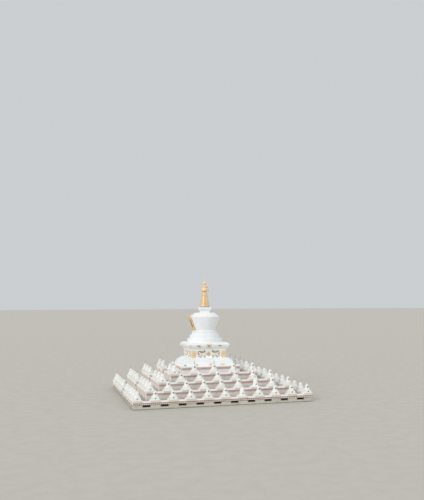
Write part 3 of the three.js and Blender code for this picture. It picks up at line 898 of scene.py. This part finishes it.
def gallery_joinery():
    """Frames of all openings, and a low string course on every side but the left."""
    wall_half = WALL_HALF[0]
    work = Work()
    for side in QUARTER_TURNS:
        wall = Work()
        for bay in BAYS:
            if side != "left" or bay not in STAIR_BAYS:
                window_frame(wall, (bay - 0.5) * BAY)
        if side == "left":
            door_frame(wall, -1)
            door_frame(wall, 1)
        else:
            wall.run(wall_half, [(0, 0.1), (0.05, 0.12), (0.05, 0.26), (0, 0.3)], -wall_half, wall_half,
                     1, (1, 1))
        work.take(wall, side_turn(side))
    make_piece("window_and_door_frames", work, [TIMBER, RENDER_GREY])


# Top terrace, plinth, lion throne and cornice

def top_terrace():
    """Moulding of the highest terrace's coping, over a row of beam ends."""
    work = Work()
    low, high = FLOOR[4], COPING_TOP
    section = [(0, low + 0.06), (0.05, low + 0.1), (0.05, high - 0.1), (0.02, high - 0.04),
               (0, high - 0.03)]
    for side, start, end, mitres in wall_spans(COPING_HALF):
        wall = Work()
        wall.run(COPING_HALF, section, start, end, 0, mitres)
        beam_ends(wall, start, end, COPING_HALF - 0.02, low + 0.02, pitch=0.5, radius=0.17, number=1,
                  depth=0.06, sides=10)
        work.take(wall, side_turn(side))
    make_piece("coping_moulding", work, [KERB_WHITE, ROSE_ENDS])


def medallion(work, x, level, face, size, spread):
    """Round boss in a ring of eight leaves, drawn out sideways by spread."""
    for i in range(8):
        angle = math.pi / 4 * i
        leaf = [(x + 1.35 * spread * size * math.cos(angle), level + 1.1 * size * math.sin(angle))]
        for turn, reach in ((0.32, 0.85), (0.0, 0.5), (-0.32, 0.85)):
            leaf.append((x + size * reach * spread * math.cos(angle + turn),
                         level + size * reach * math.sin(angle + turn)))
        work.plate(leaf, face - 0.01, face + 0.08, edge=0.02)
    work.boss(x, level, face, 0.62 * size, 0.1, 0, 16)
    work.boss(x, level, face + 0.08, 0.3 * size, 0.05, 1, 14)


def plinth_details():
    """Thin lip on each course; gilded medallions and corner leaves low on all faces, left medallions cream.
    """
    work = Work()
    for half, top in PLINTH_COURSES:
        work.squared([(half, top - 0.13), (half + 0.025, top - 0.11), (half + 0.025, top - 0.02),
                      (half + 0.01, top + 0.005)])
    make_piece("plinth_fillets", work, [WHITE])
    plane = PLINTH_COURSES[0][0]
    medallions, leaves, ornaments = Work(), Work(), Work()
    # Each medallion: its place along the side, level, size and spread
    for x, level, size, spread in ((-5.25, 11.86, 0.36, 1.5), (0.0, 11.9, 0.44, 1.25),
                                   (4.65, 11.86, 0.38, 1.9)):
        medallion(medallions, x, level, plane, size, spread)
    for sign in (-1, 1):
        leaf = [(9.72, 11.58), (9.76, 11.9), (9.66, 12.12), (9.5, 11.95), (9.3, 11.86), (9.16, 11.58)]
        leaves.plate([(sign * x, level) for x, level in leaf], plane - 0.01, plane + 0.07, 1)
    # On the left face the medallions are cream instead of gilt: painted sunlight.
    ornaments.take_round(medallions, sunlit_left_finish=2)
    ornaments.take_round(leaves)
    make_piece("plinth_medallions", ornaments, [PALE_GILT, OLIVE_GILT, CREAM])


def smooth_form(name, number, blobs, limbs=None, voxel=0.04):
    """Round masses, and limbs if given, melted together into one skin in one finish."""
    shell = bmesh.new()
    for centre, radii, tilt in blobs:
        place = (Matrix.Translation(centre) @ Matrix.Rotation(math.radians(tilt), 4, "Y")
                 @ Matrix.Diagonal((*radii, 1)))
        bmesh.ops.create_icosphere(shell, subdivisions=3, radius=1.0, matrix=place)
    mesh = bpy.data.meshes.new(name)
    if limbs:
        mesh.from_pydata(limbs.points, [], limbs.faces)
        shell.from_mesh(mesh)
        bmesh.ops.recalc_face_normals(shell, faces=shell.faces)
    shell.to_mesh(mesh)
    shell.free()
    form = new_object(name, mesh)
    melt = form.modifiers.new("melt", "REMESH")
    melt.mode = "VOXEL"
    melt.voxel_size = voxel
    ease = form.modifiers.new("ease", "SMOOTH")
    ease.factor = 0.5
    ease.iterations = 4
    bpy.context.view_layer.update()
    done = form.evaluated_get(bpy.context.evaluated_depsgraph_get()).to_mesh()
    work = Work()
    work.add([vertex.co.copy() for vertex in done.vertices],
             [tuple(polygon.vertices) for polygon in done.polygons], number)
    bpy.data.objects.remove(form)
    bpy.data.meshes.remove(mesh)
    return work


COAT, CURLS, MANE_DARK, SUNLIT_PAINT = range(4)


def lion():
    """Throne lion seen from its left, head outwards at +X, standing on its panel's ledge.
    Masses are (centre, radii, tilt in degrees)."""
    limbs = Work()
    legs = [
        [(0.55, -0.3, 0.95), (0.62, -0.36, 0.6), (0.58, -0.36, 0.22), (0.7, -0.36, 0.1)],
        [(0.75, -0.2, 1.1), (1.08, -0.3, 0.86), (1.14, -0.34, 0.56), (1.26, -0.34, 0.46)],
        [(-0.8, -0.28, 1.0), (-0.62, -0.34, 0.62), (-0.86, -0.34, 0.3), (-0.7, -0.34, 0.1)],
        [(-0.5, -0.14, 0.95), (-0.18, -0.2, 0.66), (-0.36, -0.22, 0.32), (-0.18, -0.22, 0.1)],
    ]
    for leg in legs:
        limbs.tube(leg, [0.24, 0.17, 0.12, 0.13], 10)
    tail = [(-1.05, -0.2, 1.35), (-1.3, -0.26, 1.6), (-1.22, -0.28, 1.95), (-0.95, -0.28, 2.12)]
    limbs.tube(tail, [0.11, 0.1, 0.12, 0.1], 8)
    body = [
        ((-0.72, -0.2, 1.2), (0.5, 0.3, 0.44), 0),
        ((-0.15, -0.2, 1.3), (0.7, 0.27, 0.36), 8),
        ((0.5, -0.22, 1.25), (0.52, 0.32, 0.46), -20),
        ((0.86, -0.26, 1.5), (0.34, 0.3, 0.36), 0),
        ((1.02, -0.42, 1.5), (0.29, 0.26, 0.29), 0),
        ((1.1, -0.62, 1.42), (0.17, 0.15, 0.13), 0),
        ((0.86, -0.4, 1.78), (0.09, 0.07, 0.1), 0),
        ((1.2, -0.4, 1.76), (0.09, 0.07, 0.1), 0),
    ]
    curls = []
    for i in range(9):
        angle = math.radians(60 + 25 * i)
        curls.append(((1.0 + 0.37 * math.cos(angle), -0.36, 1.5 + 0.38 * math.sin(angle)),
                      (0.17, 0.15, 0.17), 0))
    curls += [((0.62 - 0.2 * i, -0.4, 1.86 + 0.08 * math.sin(2 * i)), (0.17, 0.14, 0.18), 20 * i)
              for i in range(7)]
    curls += [((0.5 - 0.2 * i, -0.44, 1.55 + 0.05 * math.cos(2 * i)), (0.14, 0.1, 0.14), 0)
              for i in range(6)]
    beard = [((1.26 - 0.04 * i, -0.42, 1.62 - 0.17 * i), (0.18, 0.16, 0.15), 0) for i in range(4)]
    forelock = [((0.96 - 0.24 * i, -0.42, 2.06 - 0.02 * i), (0.13, 0.12, 0.11), 0) for i in range(3)]
    tail_tuft = [((-0.95 + 0.1 * i, -0.34, 2.0 + 0.12 * i), (0.16, 0.13, 0.14), 0) for i in range(3)]
    flank_locks = [((0.36, -0.46, 1.72), (0.1, 0.1, 0.16), 30), ((-0.3, -0.46, 1.72), (0.1, 0.1, 0.16), -20)]
    leg_locks = [((-0.98, -0.4, 0.6), (0.12, 0.1, 0.2), 0), ((-0.78, -0.42, 0.14), (0.22, 0.12, 0.13), 0),
                 ((0.38, -0.46, 0.5), (0.11, 0.1, 0.19), 0), ((0.66, -0.44, 0.14), (0.22, 0.12, 0.13), 0),
                 ((1.24, -0.46, 0.46), (0.18, 0.1, 0.14), 0)]
    dark = beard + forelock + tail_tuft + flank_locks + leg_locks
    whole = smooth_form("lion_body", COAT, body, limbs, voxel=0.05)
    whole.take(smooth_form("lion_curls", CURLS, curls))
    whole.take(smooth_form("lion_mane", MANE_DARK, dark))
    for eye in (0.9, 1.1):
        whole.boss(eye, 1.58, 0.62, 0.035, 0.05, MANE_DARK)
    nose = (1.08, 1.46)
    whole.boss(*nose, 0.74, 0.05, 0.04, MANE_DARK)
    return whole


def throne_body():
    """Square body with a band at its foot and head and a pier at each corner."""
    work, pier = Work(), Work()
    inner, outer, band = THRONE_FACE - 0.02, THRONE_FACE + 0.02, 0.3
    work.squared([(THRONE_BODY, THRONE_FOOT), (THRONE_BODY, THRONE_TOP)])
    work.squared(lifted([(outer, 0), (outer, band - 0.03), (inner, band)], THRONE_FOOT))
    work.squared(lifted([(inner, -band), (outer, 0.03 - band), (outer, 0)], THRONE_TOP))
    pier.block((-THRONE_FACE, -THRONE_FACE, THRONE_FOOT),
               (PILASTER - THRONE_FACE, PILASTER - THRONE_FACE, THRONE_TOP))
    work.take_round(pier)
    make_piece("throne_body", work, [THRONE_LIT_WHITE], ["lion_throne"])


def scroll(work, x, level, face, height):
    """Two pairs of mirrored spirals, one up and one down, raised on a panel."""
    steps = 14
    for sign in (-1, 1):
        for side in (-1, 1):
            path = []
            for i in range(steps + 1):
                angle = math.pi * (0.5 + 2.6 * i / steps)
                radius = 0.3 * (1 - 0.75 * i / steps)
                path.append((x + side * (0.3 + radius * math.cos(angle)), -face - 0.03,
                             level + sign * (0.3 * height + radius * math.sin(angle) - 0.1)))
            work.tube(path, [0.05 - 0.025 * i / steps for i in range(steps + 1)], 6, 1)


def pier_panel(work, sign):
    """Gilded panel of one pier: plate, raised border, scrolls and a boss."""
    left, right = sorted((sign * PANEL_OUTER, sign * (PANEL_OUTER - PANEL_WIDTH)))
    low, high = THRONE_FOOT + 0.1, THRONE_TOP - 0.08
    middle, level = (left + right) / 2, (low + high) / 2
    half, margin, bar = PANEL_WIDTH / 2 - 0.2, 0.12, 0.08
    back, front = -THRONE_FACE - 0.04, -THRONE_FACE - 0.1
    work.plate([(left, low), (right, low), (right, high), (left, high)], THRONE_FACE - 0.02,
               THRONE_FACE + 0.05)
    for x in (middle - half, middle + half):
        work.block((x - 0.05, front, low + margin), (x + 0.05, back, high - margin))
    for foot in (low + margin, high - margin - bar):
        work.block((middle - half, front, foot), (middle + half, back, foot + bar))
    scroll(work, middle, level, THRONE_FACE + 0.05, 0.5 * (high - low))
    work.boss(middle, level, THRONE_FACE + 0.04, 0.2, 0.12, 1, 16)


def lozenge(level, half, rise):
    """Outline of an upright lozenge about the middle of a side."""
    return [(half, level), (0, level + rise), (-half, level), (0, level - rise)]


def jewel(work, level, face):
    """Faceted lozenge in a gilded border, in the middle of a side."""
    half, rise, inner = 0.95, 0.92, 0.68
    rim = lozenge(level, half, rise)
    work.plate(rim, face - 0.02, face + 0.12, edge=0.1)
    work.plate(lozenge(level, inner * half, inner * rise), face + 0.1, face + 0.26, edge=0.34)
    for start, end in zip(rim, rim[1:] + rim[:1]):
        path = [(x, -face - 0.1, z) for x, z in (start, end)]
        work.tube(path, [0.05, 0.05], 6, 1)


def throne_ornaments():
    """Gilded panels, cream on the left as painted sunlight, lions, jewels and ledges of the lion throne."""
    panels, pilasters, lions, jewels, ledges = Work(), Work(), Work(), Work(), Work()
    for sign in (-1, 1):
        pier_panel(panels, sign)
    # On the left side the pilaster panels are cream: painted sunlight.
    pilasters.take_round(panels, sunlit_left_finish=2)
    # On the left side the lions' curls and mane turn pale: painted sunlight.
    one_lion, sunlit_painted_lion = lion(), Work()
    sunlit_painted_lion.take(one_lion)
    sunlit_painted_lion.finishes = [COAT if number == COAT else SUNLIT_PAINT for number in one_lion.finishes]
    lion_middle, ledge_height = 2.55, 0.2
    for side in QUARTER_TURNS:
        for sign in (-1, 1):
            place = Matrix.Translation((sign * lion_middle, -THRONE_BODY + 0.02,
                                        THRONE_FOOT + ledge_height))
            flip = Matrix.Diagonal((sign * LION_SCALE, 1, LION_SCALE, 1))
            lions.take(sunlit_painted_lion if side == "left" else one_lion, side_turn(side) @ place @ flip)
    middle, ledge = Work(), Work()
    jewel(middle, level=15.5, face=THRONE_BODY)
    jewels.take_round(middle)
    span, inset, out, thick = THRONE_FACE - PILASTER, 0.3, 0.14, 0.08
    for low in (THRONE_FOOT + inset, THRONE_TOP - inset - thick):
        section = lifted([(0, 0), (out, 0), (out, thick), (0, thick)], low)
        ledge.run(THRONE_BODY, section, -span, span)
    ledges.take_round(ledge)
    make_piece("throne_pilasters", pilasters, [PANEL_GILT, PALE_GILT, CREAM])
    make_piece("throne_lions", lions, [LION_COAT, LION_CURLS, MANE, SUNLIT_LION_CURLS], sharp=70.0)
    make_piece("throne_jewels", jewels, [JEWEL_TAN, GILT])
    make_piece("throne_ledges", ledges, [THRONE_LIT_WHITE])


def oval(work, x, level, face, half, rise):
    """Long pointed boss with a darker middle."""
    def ring(share_across, share_up):
        """Outline of the boss, drawn in to the given shares of its size."""
        return [(x + share_across * half * across, level + share_up * rise * up)
                for across, up in compass(24, 0)]

    work.plate(ring(1, 1), face - 0.1, face + 0.1, edge=0.05)
    work.plate(ring(0.66, 0.5), face + 0.08, face + 0.15, 1, edge=0.06)


def crossed_leaves(work, x, level, face, half, rise):
    """Four leaves crossed on the slant about a dark round centre."""
    leaf = ((0.12, 0.0), (0.45, 0.3), (0.85, 0.34), (1.15, 0.0), (0.85, -0.34), (0.45, -0.3))
    for across, up in compass(4):
        outline = [(x + half * (along * across - wide * up), level + rise * (along * up + wide * across))
                   for along, wide in leaf]
        work.plate(outline, face - 0.1, face + 0.12, edge=0.05)
    work.boss(x, level, face + 0.05, 0.42, 0.1, 0, 18)
    work.boss(x, level, face + 0.13, 0.34, 0.04, 1, 16, dish=0.9)


def corner_scroll(work, x, level, face):
    """Spiral bracket near the left corner, its tail turned up."""
    steps = 18
    path = []
    for i in range(steps + 1):
        angle = math.pi * (-0.6 + 2.5 * i / steps)
        radius = 0.52 * (1 - 0.7 * i / steps)
        path.append((x + radius * math.cos(angle) - 0.05, -face - 0.05, level + radius * math.sin(angle)))
    work.tube(path, [0.11 - 0.05 * i / steps for i in range(steps + 1)])
    tail = ((0.1, -0.52), (-0.3, -0.4), (-0.48, 0.05), (-0.42, 0.5))
    work.tube([(x + across, -face - 0.05, level + up) for across, up in tail], [0.1, 0.1, 0.08, 0.04])


def cornice():
    """Swelling cornice that spreads from the throne's head, with scrolls and medallions."""
    work = Work()
    work.squared([
        (6.72, THRONE_TOP - 0.25), (6.74, 16.75), (6.76, 16.95), (6.82, 17.2), (6.96, 17.42),
        (7.18, 17.68), (7.44, 18.0), (7.68, 18.34), (7.86, 18.7), (7.93, 19.0), (7.88, 19.16),
        (7.7, 19.26), (7.42, 19.32), (7.38, 19.4), (7.36, 19.58), (7.3, CORNICE_TOP), (4.0, CORNICE_TOP)])
    make_piece("cornice_mouldings", work, [WHITE], ["throne_cornice"])
    face, ornaments = Work(), Work()
    plane = 7.84
    oval(face, -4.1, 18.52, plane, half=1.0, rise=0.36)
    oval(face, 4.0, 18.58, plane, half=1.05, rise=0.28)
    crossed_leaves(face, -0.14, 18.6, plane, half=1.25, rise=0.8)
    corner_scroll(face, -7.3, 18.62, plane)
    # On the left side the ornaments are pale cream: painted sunlight.
    ornaments.take_round(face, sunlit_left_finish=2)
    make_piece("cornice_ornaments", ornaments, [PALE_GILT, OLIVE_GILT, PALE_CREAM])


# Round steps, dome, niche, harmika and spire

def petal_ring(work, radius, low, high, count, out):
    """Ring of upright lotus petals, each a closed leaf with a raised middle."""
    half = math.pi * radius / count * 0.96
    rings = []
    for share in (0.0, 0.25, 0.55, 0.8, 0.95, 1.0):
        width = half * math.sqrt(max(0.02, 1 - share ** 2.6))
        level = low + (high - low) * share
        bulge = out * math.sin(math.pi * (0.15 + 0.85 * share) ** 1.2) + 0.25 * out
        edge = -radius * math.cos(width / radius)
        rings.append([(-width, edge, level), (0, -radius - bulge, level), (width, edge, level),
                      (0, -radius + 0.1, level)])
    petal = Work()
    petal.loft(rings)
    for i in range(count):
        work.take(petal, about_axis(i / count))


def half_round(radius, level, out, rise, steps):
    """Bulging (radius, level) points from the foot to the head of a half-round moulding."""
    angles = [math.pi * (i / steps - 0.5) for i in range(steps + 1)]
    return [(radius + out * math.cos(angle), level + rise * math.sin(angle)) for angle in angles]


def dome_steps():
    """Three round steps and a lotus, all of white plaster, under the dome."""
    work = Work()
    profile = []
    level = CORNICE_TOP
    for radius, top in DOME_STEPS:
        profile += [(radius - 0.03, level), (radius - 0.03, top - 0.2), (radius, top - 0.17),
                    (radius, top - 0.04), (radius - 0.03, top)]
        level = top
    work.turned([*profile, (4.6, level)], 96)
    work.turned([(4.55, level), (4.6, level + 0.08), *half_round(4.46, level + 0.24, 0.12, 0.16, 8),
                 (4.3, LOTUS_TOP - 0.24), (4.2, LOTUS_TOP)], 96)
    petal_ring(work, 4.3, LOTUS_TOP - 0.34, LOTUS_TOP + 0.1, 40, 0.06)
    make_piece("round_steps", work, [WHITE], ["dome_steps"])


def great_dome():
    """Vase-shaped dome, widest at its shoulder, with a moulded shoulder line."""
    foot_radius, foot_level = DOME_FOOT
    radius, level = DOME_SHOULDER
    profile = [(foot_radius - 0.02, foot_level)]
    steps = 14
    for i in range(steps + 1):
        share = i / steps
        swell = 0.1 * math.sin(math.pi * share) - 0.03 * (1 - share)
        profile.append((foot_radius + (radius - foot_radius) * share + swell,
                        foot_level + 0.05 + (level - foot_level - 0.15) * share))
    crown_radius, proud, lip, under_harmika = 3.85, 0.02, 0.08, 1.4
    profile += [(radius + proud, level - lip), (radius + proud, level),
                (crown_radius + proud, DOME_CROWN - lip), (crown_radius - 0.06, DOME_CROWN - 0.02),
                (under_harmika, DOME_CROWN)]
    work = Work()
    work.turned(profile, 128)
    make_piece("dome_shell", work, [WHITE], ["dome"], sharp=30.0)


ARCH_GOLD, ARCH_DARK, ARCH_CREAM, ARCH_RECESS = range(4)


def arch_ring(work, outer, inner, back, front, number):
    """Arched frame between two outlines, from its back to its front."""
    loops = ((outer, back), (inner, back), (inner, front), (outer, front))
    count = len(outer)
    faces = []
    for loop in range(4):
        here, there = loop * count, (loop + 1) % 4 * count
        for i in range(count):
            after = (i + 1) % count
            faces.append((here + i, here + after, there + after, there + i))
    work.add([(x, -out, z) for outline, out in loops for x, z in outline], faces, number)


def niche():
    """Gilded arch leaning with the dome's left face: cream back, dark groove, gold rim and crest."""
    work = Work()
    half, foot, spring, crown = 1.7, 0.3, 3.6, 5.85
    outer = arch_outline(half, foot, spring, crown, 9)
    inner = arch_outline(0.95, 1.1, 3.1, 4.6, 9)
    rim, stud = 0.37, 0.14
    # Each layer: how far it is drawn in, its back and its front, and its finish
    for inset, back, front, number in ((0.02, -0.95, 0.0, ARCH_CREAM), (0.14, -0.9, 0.17, ARCH_DARK),
                                       (0.0, 0.16, rim, ARCH_GOLD)):
        edge = arch_outline(half - inset, foot + inset, spring, crown - inset, 9)
        arch_ring(work, edge, inner, back, front, number)
    for outline in (outer, inner):
        work.tube([(x, -rim, z) for x, z in outline], [0.06] * len(outline), 8, ARCH_GOLD)
    base_half, sill_half, bar = 1.8, 1.1, 0.2
    for reach, proud, back, low in ((base_half, 0.1, 0.4, 0.16), (sill_half, 0.04, 0.1, 0.92)):
        work.block((-reach, -rim - proud, low), (reach, back, low + bar), ARCH_GOLD)
    studs = [((a[0] + b[0]) / 2, (a[1] + b[1]) / 2) for a, b in zip(outer[1:-1], inner[1:-1])]
    jamb_middle, lowest_stud, stud_pitch = 1.33, 0.9, 0.62
    studs += [(sign * jamb_middle, lowest_stud + stud_pitch * i) for i in range(4) for sign in (-1, 1)]
    for x, z in studs:
        work.boss(x, z, rim, stud, 0.08, ARCH_GOLD, 12)
    crest = [(0.0, 6.2), (0.12, 6.02), (0.3, 5.9), (0.24, 5.65), (-0.24, 5.65), (-0.3, 5.9),
             (-0.12, 6.02)]
    work.plate(crest, rim - 0.15, rim + 0.08, ARCH_GOLD, edge=0.05)
    # Near-black plate deep in the arch: painted shadow of the niche's hollow.
    work.plate(arch_outline(1.0, 1.0, 3.1, 4.65, 9), -0.3, 0.22, ARCH_RECESS, edge=0.01)
    foot_inset, extra_lean = 0.16, 0.03
    lean = math.atan2(DOME_SHOULDER[0] - DOME_FOOT[0], DOME_SHOULDER[1] - DOME_FOOT[1]) + extra_lean
    placed = Work()
    placed.take(work, Matrix.Rotation(-math.pi / 2, 4, "Z")
                @ Matrix.Translation((0, foot_inset - DOME_FOOT[0], DOME_FOOT[1]))
                @ Matrix.Rotation(lean, 4, "X"))
    make_piece("niche_arch", placed, [PALE_GILT, OLIVE_GILT, CREAM, SHADOW], ["niche_frame"])


def harmika():
    """Square box that spreads upwards, with a row of small panels under its lid."""
    work, panels = Work(), Work()
    low = DOME_CROWN
    work.squared([
        (1.68, low), (1.68, low + 0.14), (1.6, low + 0.18), (1.55, low + 0.22), (1.55, 31.42),
        (1.62, 31.48), (1.62, 31.56), (1.74, 31.68), (1.9, 31.82), (2.02, 31.98), (2.05, 32.05),
        (2.1, 32.1), (2.1, 32.2), (2.02, 32.25), (2.02, 32.62), (2.1, 32.68), (2.1, 32.84),
        (2.02, HARMIKA_TOP)])
    half, foot, head = 0.34, 32.3, 32.57
    for x in (-1.3, -0.43, 0.43, 1.3):
        panels.plate([(x - half, foot), (x + half, foot), (x + half, head), (x - half, head)], 2.0, 2.06)
    work.take_round(panels)
    make_piece("harmika_box", work, [WHITE], ["harmika"])


def spire():
    """Neck with a lotus, and thirteen rings that grow smaller upwards."""
    neck = Work()
    neck.turned([(1.7, HARMIKA_TOP), (1.75, HARMIKA_TOP + 0.05), (1.78, HARMIKA_TOP + 0.18),
                 (1.72, RINGS_FOOT - 0.06), (1.72, RINGS_FOOT)], 64)
    petal_ring(neck, 1.72, HARMIKA_TOP, RINGS_FOOT + 0.02, 20, 0.1)
    make_piece("spire_neck", neck, [LILAC])
    rings = Work()
    lowest, highest, bulge, groove = 2.0, 0.8, 0.1, 0.17
    pitch = (SPIRE_TOP - RINGS_FOOT) / RINGS
    for ring in range(RINGS):
        radius = lowest - (lowest - highest) * ring / (RINGS - 1)
        foot = RINGS_FOOT + ring * pitch
        swell = half_round(radius - bulge, foot + 0.4 * pitch, bulge, 0.38 * pitch, 6)
        rings.turned([(radius - 0.16, foot), *swell, (radius - groove, foot + 0.82 * pitch),
                      (radius - groove, foot + pitch)], 48)
    make_piece("thirteen_rings", rings, [GILT], ["spire_rings"])


def parasol_and_finial():
    """Bell-shaped parasol with a fringe of leaves, and the jewel on its top."""
    parasol, leaf, finial = Work(), Work(), Work()
    parasol.turned(lifted([
        (1.5, 0), (1.6, 0.02), (1.6, 0.12), (1.54, 0.3), (1.38, 0.55), (1.2, 0.85), (1.09, 1.1),
        (1.1, 1.2), (1.22, 1.4), (1.26, 1.52), (1.22, 1.62), (1.1, PARASOL_TOP - SPIRE_TOP),
        (0.5, PARASOL_TOP - SPIRE_TOP + 0.02)], SPIRE_TOP), 64)
    leaves = 24
    half = math.pi * 1.58 / leaves
    outline = [(half, 0.16), (half, 0.02), (0.5 * half, -0.1), (0, -0.14), (-0.5 * half, -0.1),
               (-half, 0.02), (-half, 0.16)]
    leaf.plate(lifted(outline, SPIRE_TOP), 1.52, 1.62, edge=0.02)
    for i in range(leaves):
        parasol.take(leaf, about_axis(i / leaves))
    make_piece("parasol_canopy", parasol, [PALE_GILT], ["parasol"])
    finial.turned([
        (0.5, PARASOL_TOP), (0.46, 41.2), (0.28, 41.32), (0.24, 41.45), (0.3, 41.6), (0.42, 41.85),
        (0.5, 42.15), (0.52, 42.4), (0.46, 42.65), (0.34, 42.9), (0.22, 43.12), (0.2, 43.2),
        (0.24, 43.28), (0.2, 43.38), (0.18, 43.5), (0.16, 43.62), (0.1, 43.82), (0.01, 44.0)], 40)
    make_piece("finial_jewel", finial, [PALE_GILT], ["finial"])


# Finishes of the part's own solids that stay in view

def dress(node, material):
    """Gives a node of the part its finish."""
    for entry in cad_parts[node].material_slots:
        entry.material = material


def dress_solids():
    """Walls, frieze beams, floors, stair, coping and plinth, which no piece replaces."""
    for wall in ("front_wall", "back_wall", "right_wall", "left_wall_north", "left_wall_south"):
        dress(wall, RENDER_GREY)
    for beam in ("front_frieze_beam", "back_frieze_beam", "right_frieze_beam", "left_frieze_beam_north",
                 "left_frieze_beam_south", "gallery_roof_slab"):
        dress(beam, FRIEZE)
    for tier in (1, 2, 3):
        dress(f"terrace_wall_{tier + 1}", MORTAR[tier])
        dress(f"terrace_frieze_{tier + 1}", FRIEZE)
    for flight in (1, 2, 3, 4):
        dress(f"stair_flight_{flight}", STAIR_STONE)
    dress("terrace_wall_5", WHITE)
    dress("terrace_frieze_5", DARK_FRIEZE)
    # The gallery's floor and core are dressed in painted shade.
    dress("floor_slab", GALLERY_SHADE)
    dress("gallery_core", GALLERY_SHADE)
    dress("top_terrace_coping", KERB_WHITE)
    dress("central_plinth", WHITE)


# Floor and light

def soft_lamp(name, towards, energy, spread, colour):
    """Distant lamp that shines in the given direction, with a spread in degrees for soft shadows."""
    lamp = bpy.data.lights.new(name, "SUN")
    lamp.energy = energy
    lamp.angle = math.radians(spread)
    lamp.color = colour
    holder = new_object(name, lamp)
    holder.rotation_mode = "QUATERNION"
    holder.rotation_quaternion = Vector(towards).to_track_quat("-Z", "Y")


def studio():
    """Wide pale floor, an even sky, a broad soft sun from the left and a weak one from the right."""
    floor_mesh = bpy.data.meshes.new("studio_floor")
    shell = bmesh.new()
    bmesh.ops.create_circle(shell, cap_ends=True, segments=96, radius=2400.0)
    shell.to_mesh(floor_mesh)
    shell.free()
    floor = new_object("studio_floor", floor_mesh)
    floor.location = (0, 0, -0.002)
    floor_mesh.materials.append(STUDIO_GREY)
    world = bpy.data.worlds.new("studio_sky")
    world.use_nodes = True
    nodes = Nodes(world.node_tree)
    glow = nodes.tree.nodes["Background"]
    glow.inputs["Color"].default_value = (0.95, 0.97, 1.0, 1.0)
    glow.inputs["Strength"].default_value = 0.8
    backdrop = nodes.place("Background", {"Color": (0.6, 0.62, 0.635, 1.0)})
    seen_directly = nodes.place("LightPath", {}, "Is Camera Ray")
    sky = nodes.place("MixShader", {0: seen_directly, 1: glow.outputs[0], 2: backdrop})
    nodes.feed(nodes.tree.nodes["World Output"].inputs["Surface"], sky)
    bpy.context.scene.world = world
    soft_lamp("soft_sun", (0.76, 0.54, -0.42), 1.3, 30, (1.0, 0.97, 0.93))
    soft_lamp("soft_fill", (-0.7, 0.6, -0.2), 0.42, 60, (0.95, 0.97, 1.0))
    bpy.context.scene.view_settings.view_transform = "Standard"


for build in (set_camera, rows_of_stupas, friezes, stone_facing, paving, gallery_joinery, top_terrace,
              plinth_details, throne_body, throne_ornaments, cornice, dome_steps, great_dome, niche,
              harmika, spire, parasol_and_finial, dress_solids, studio):
    build()
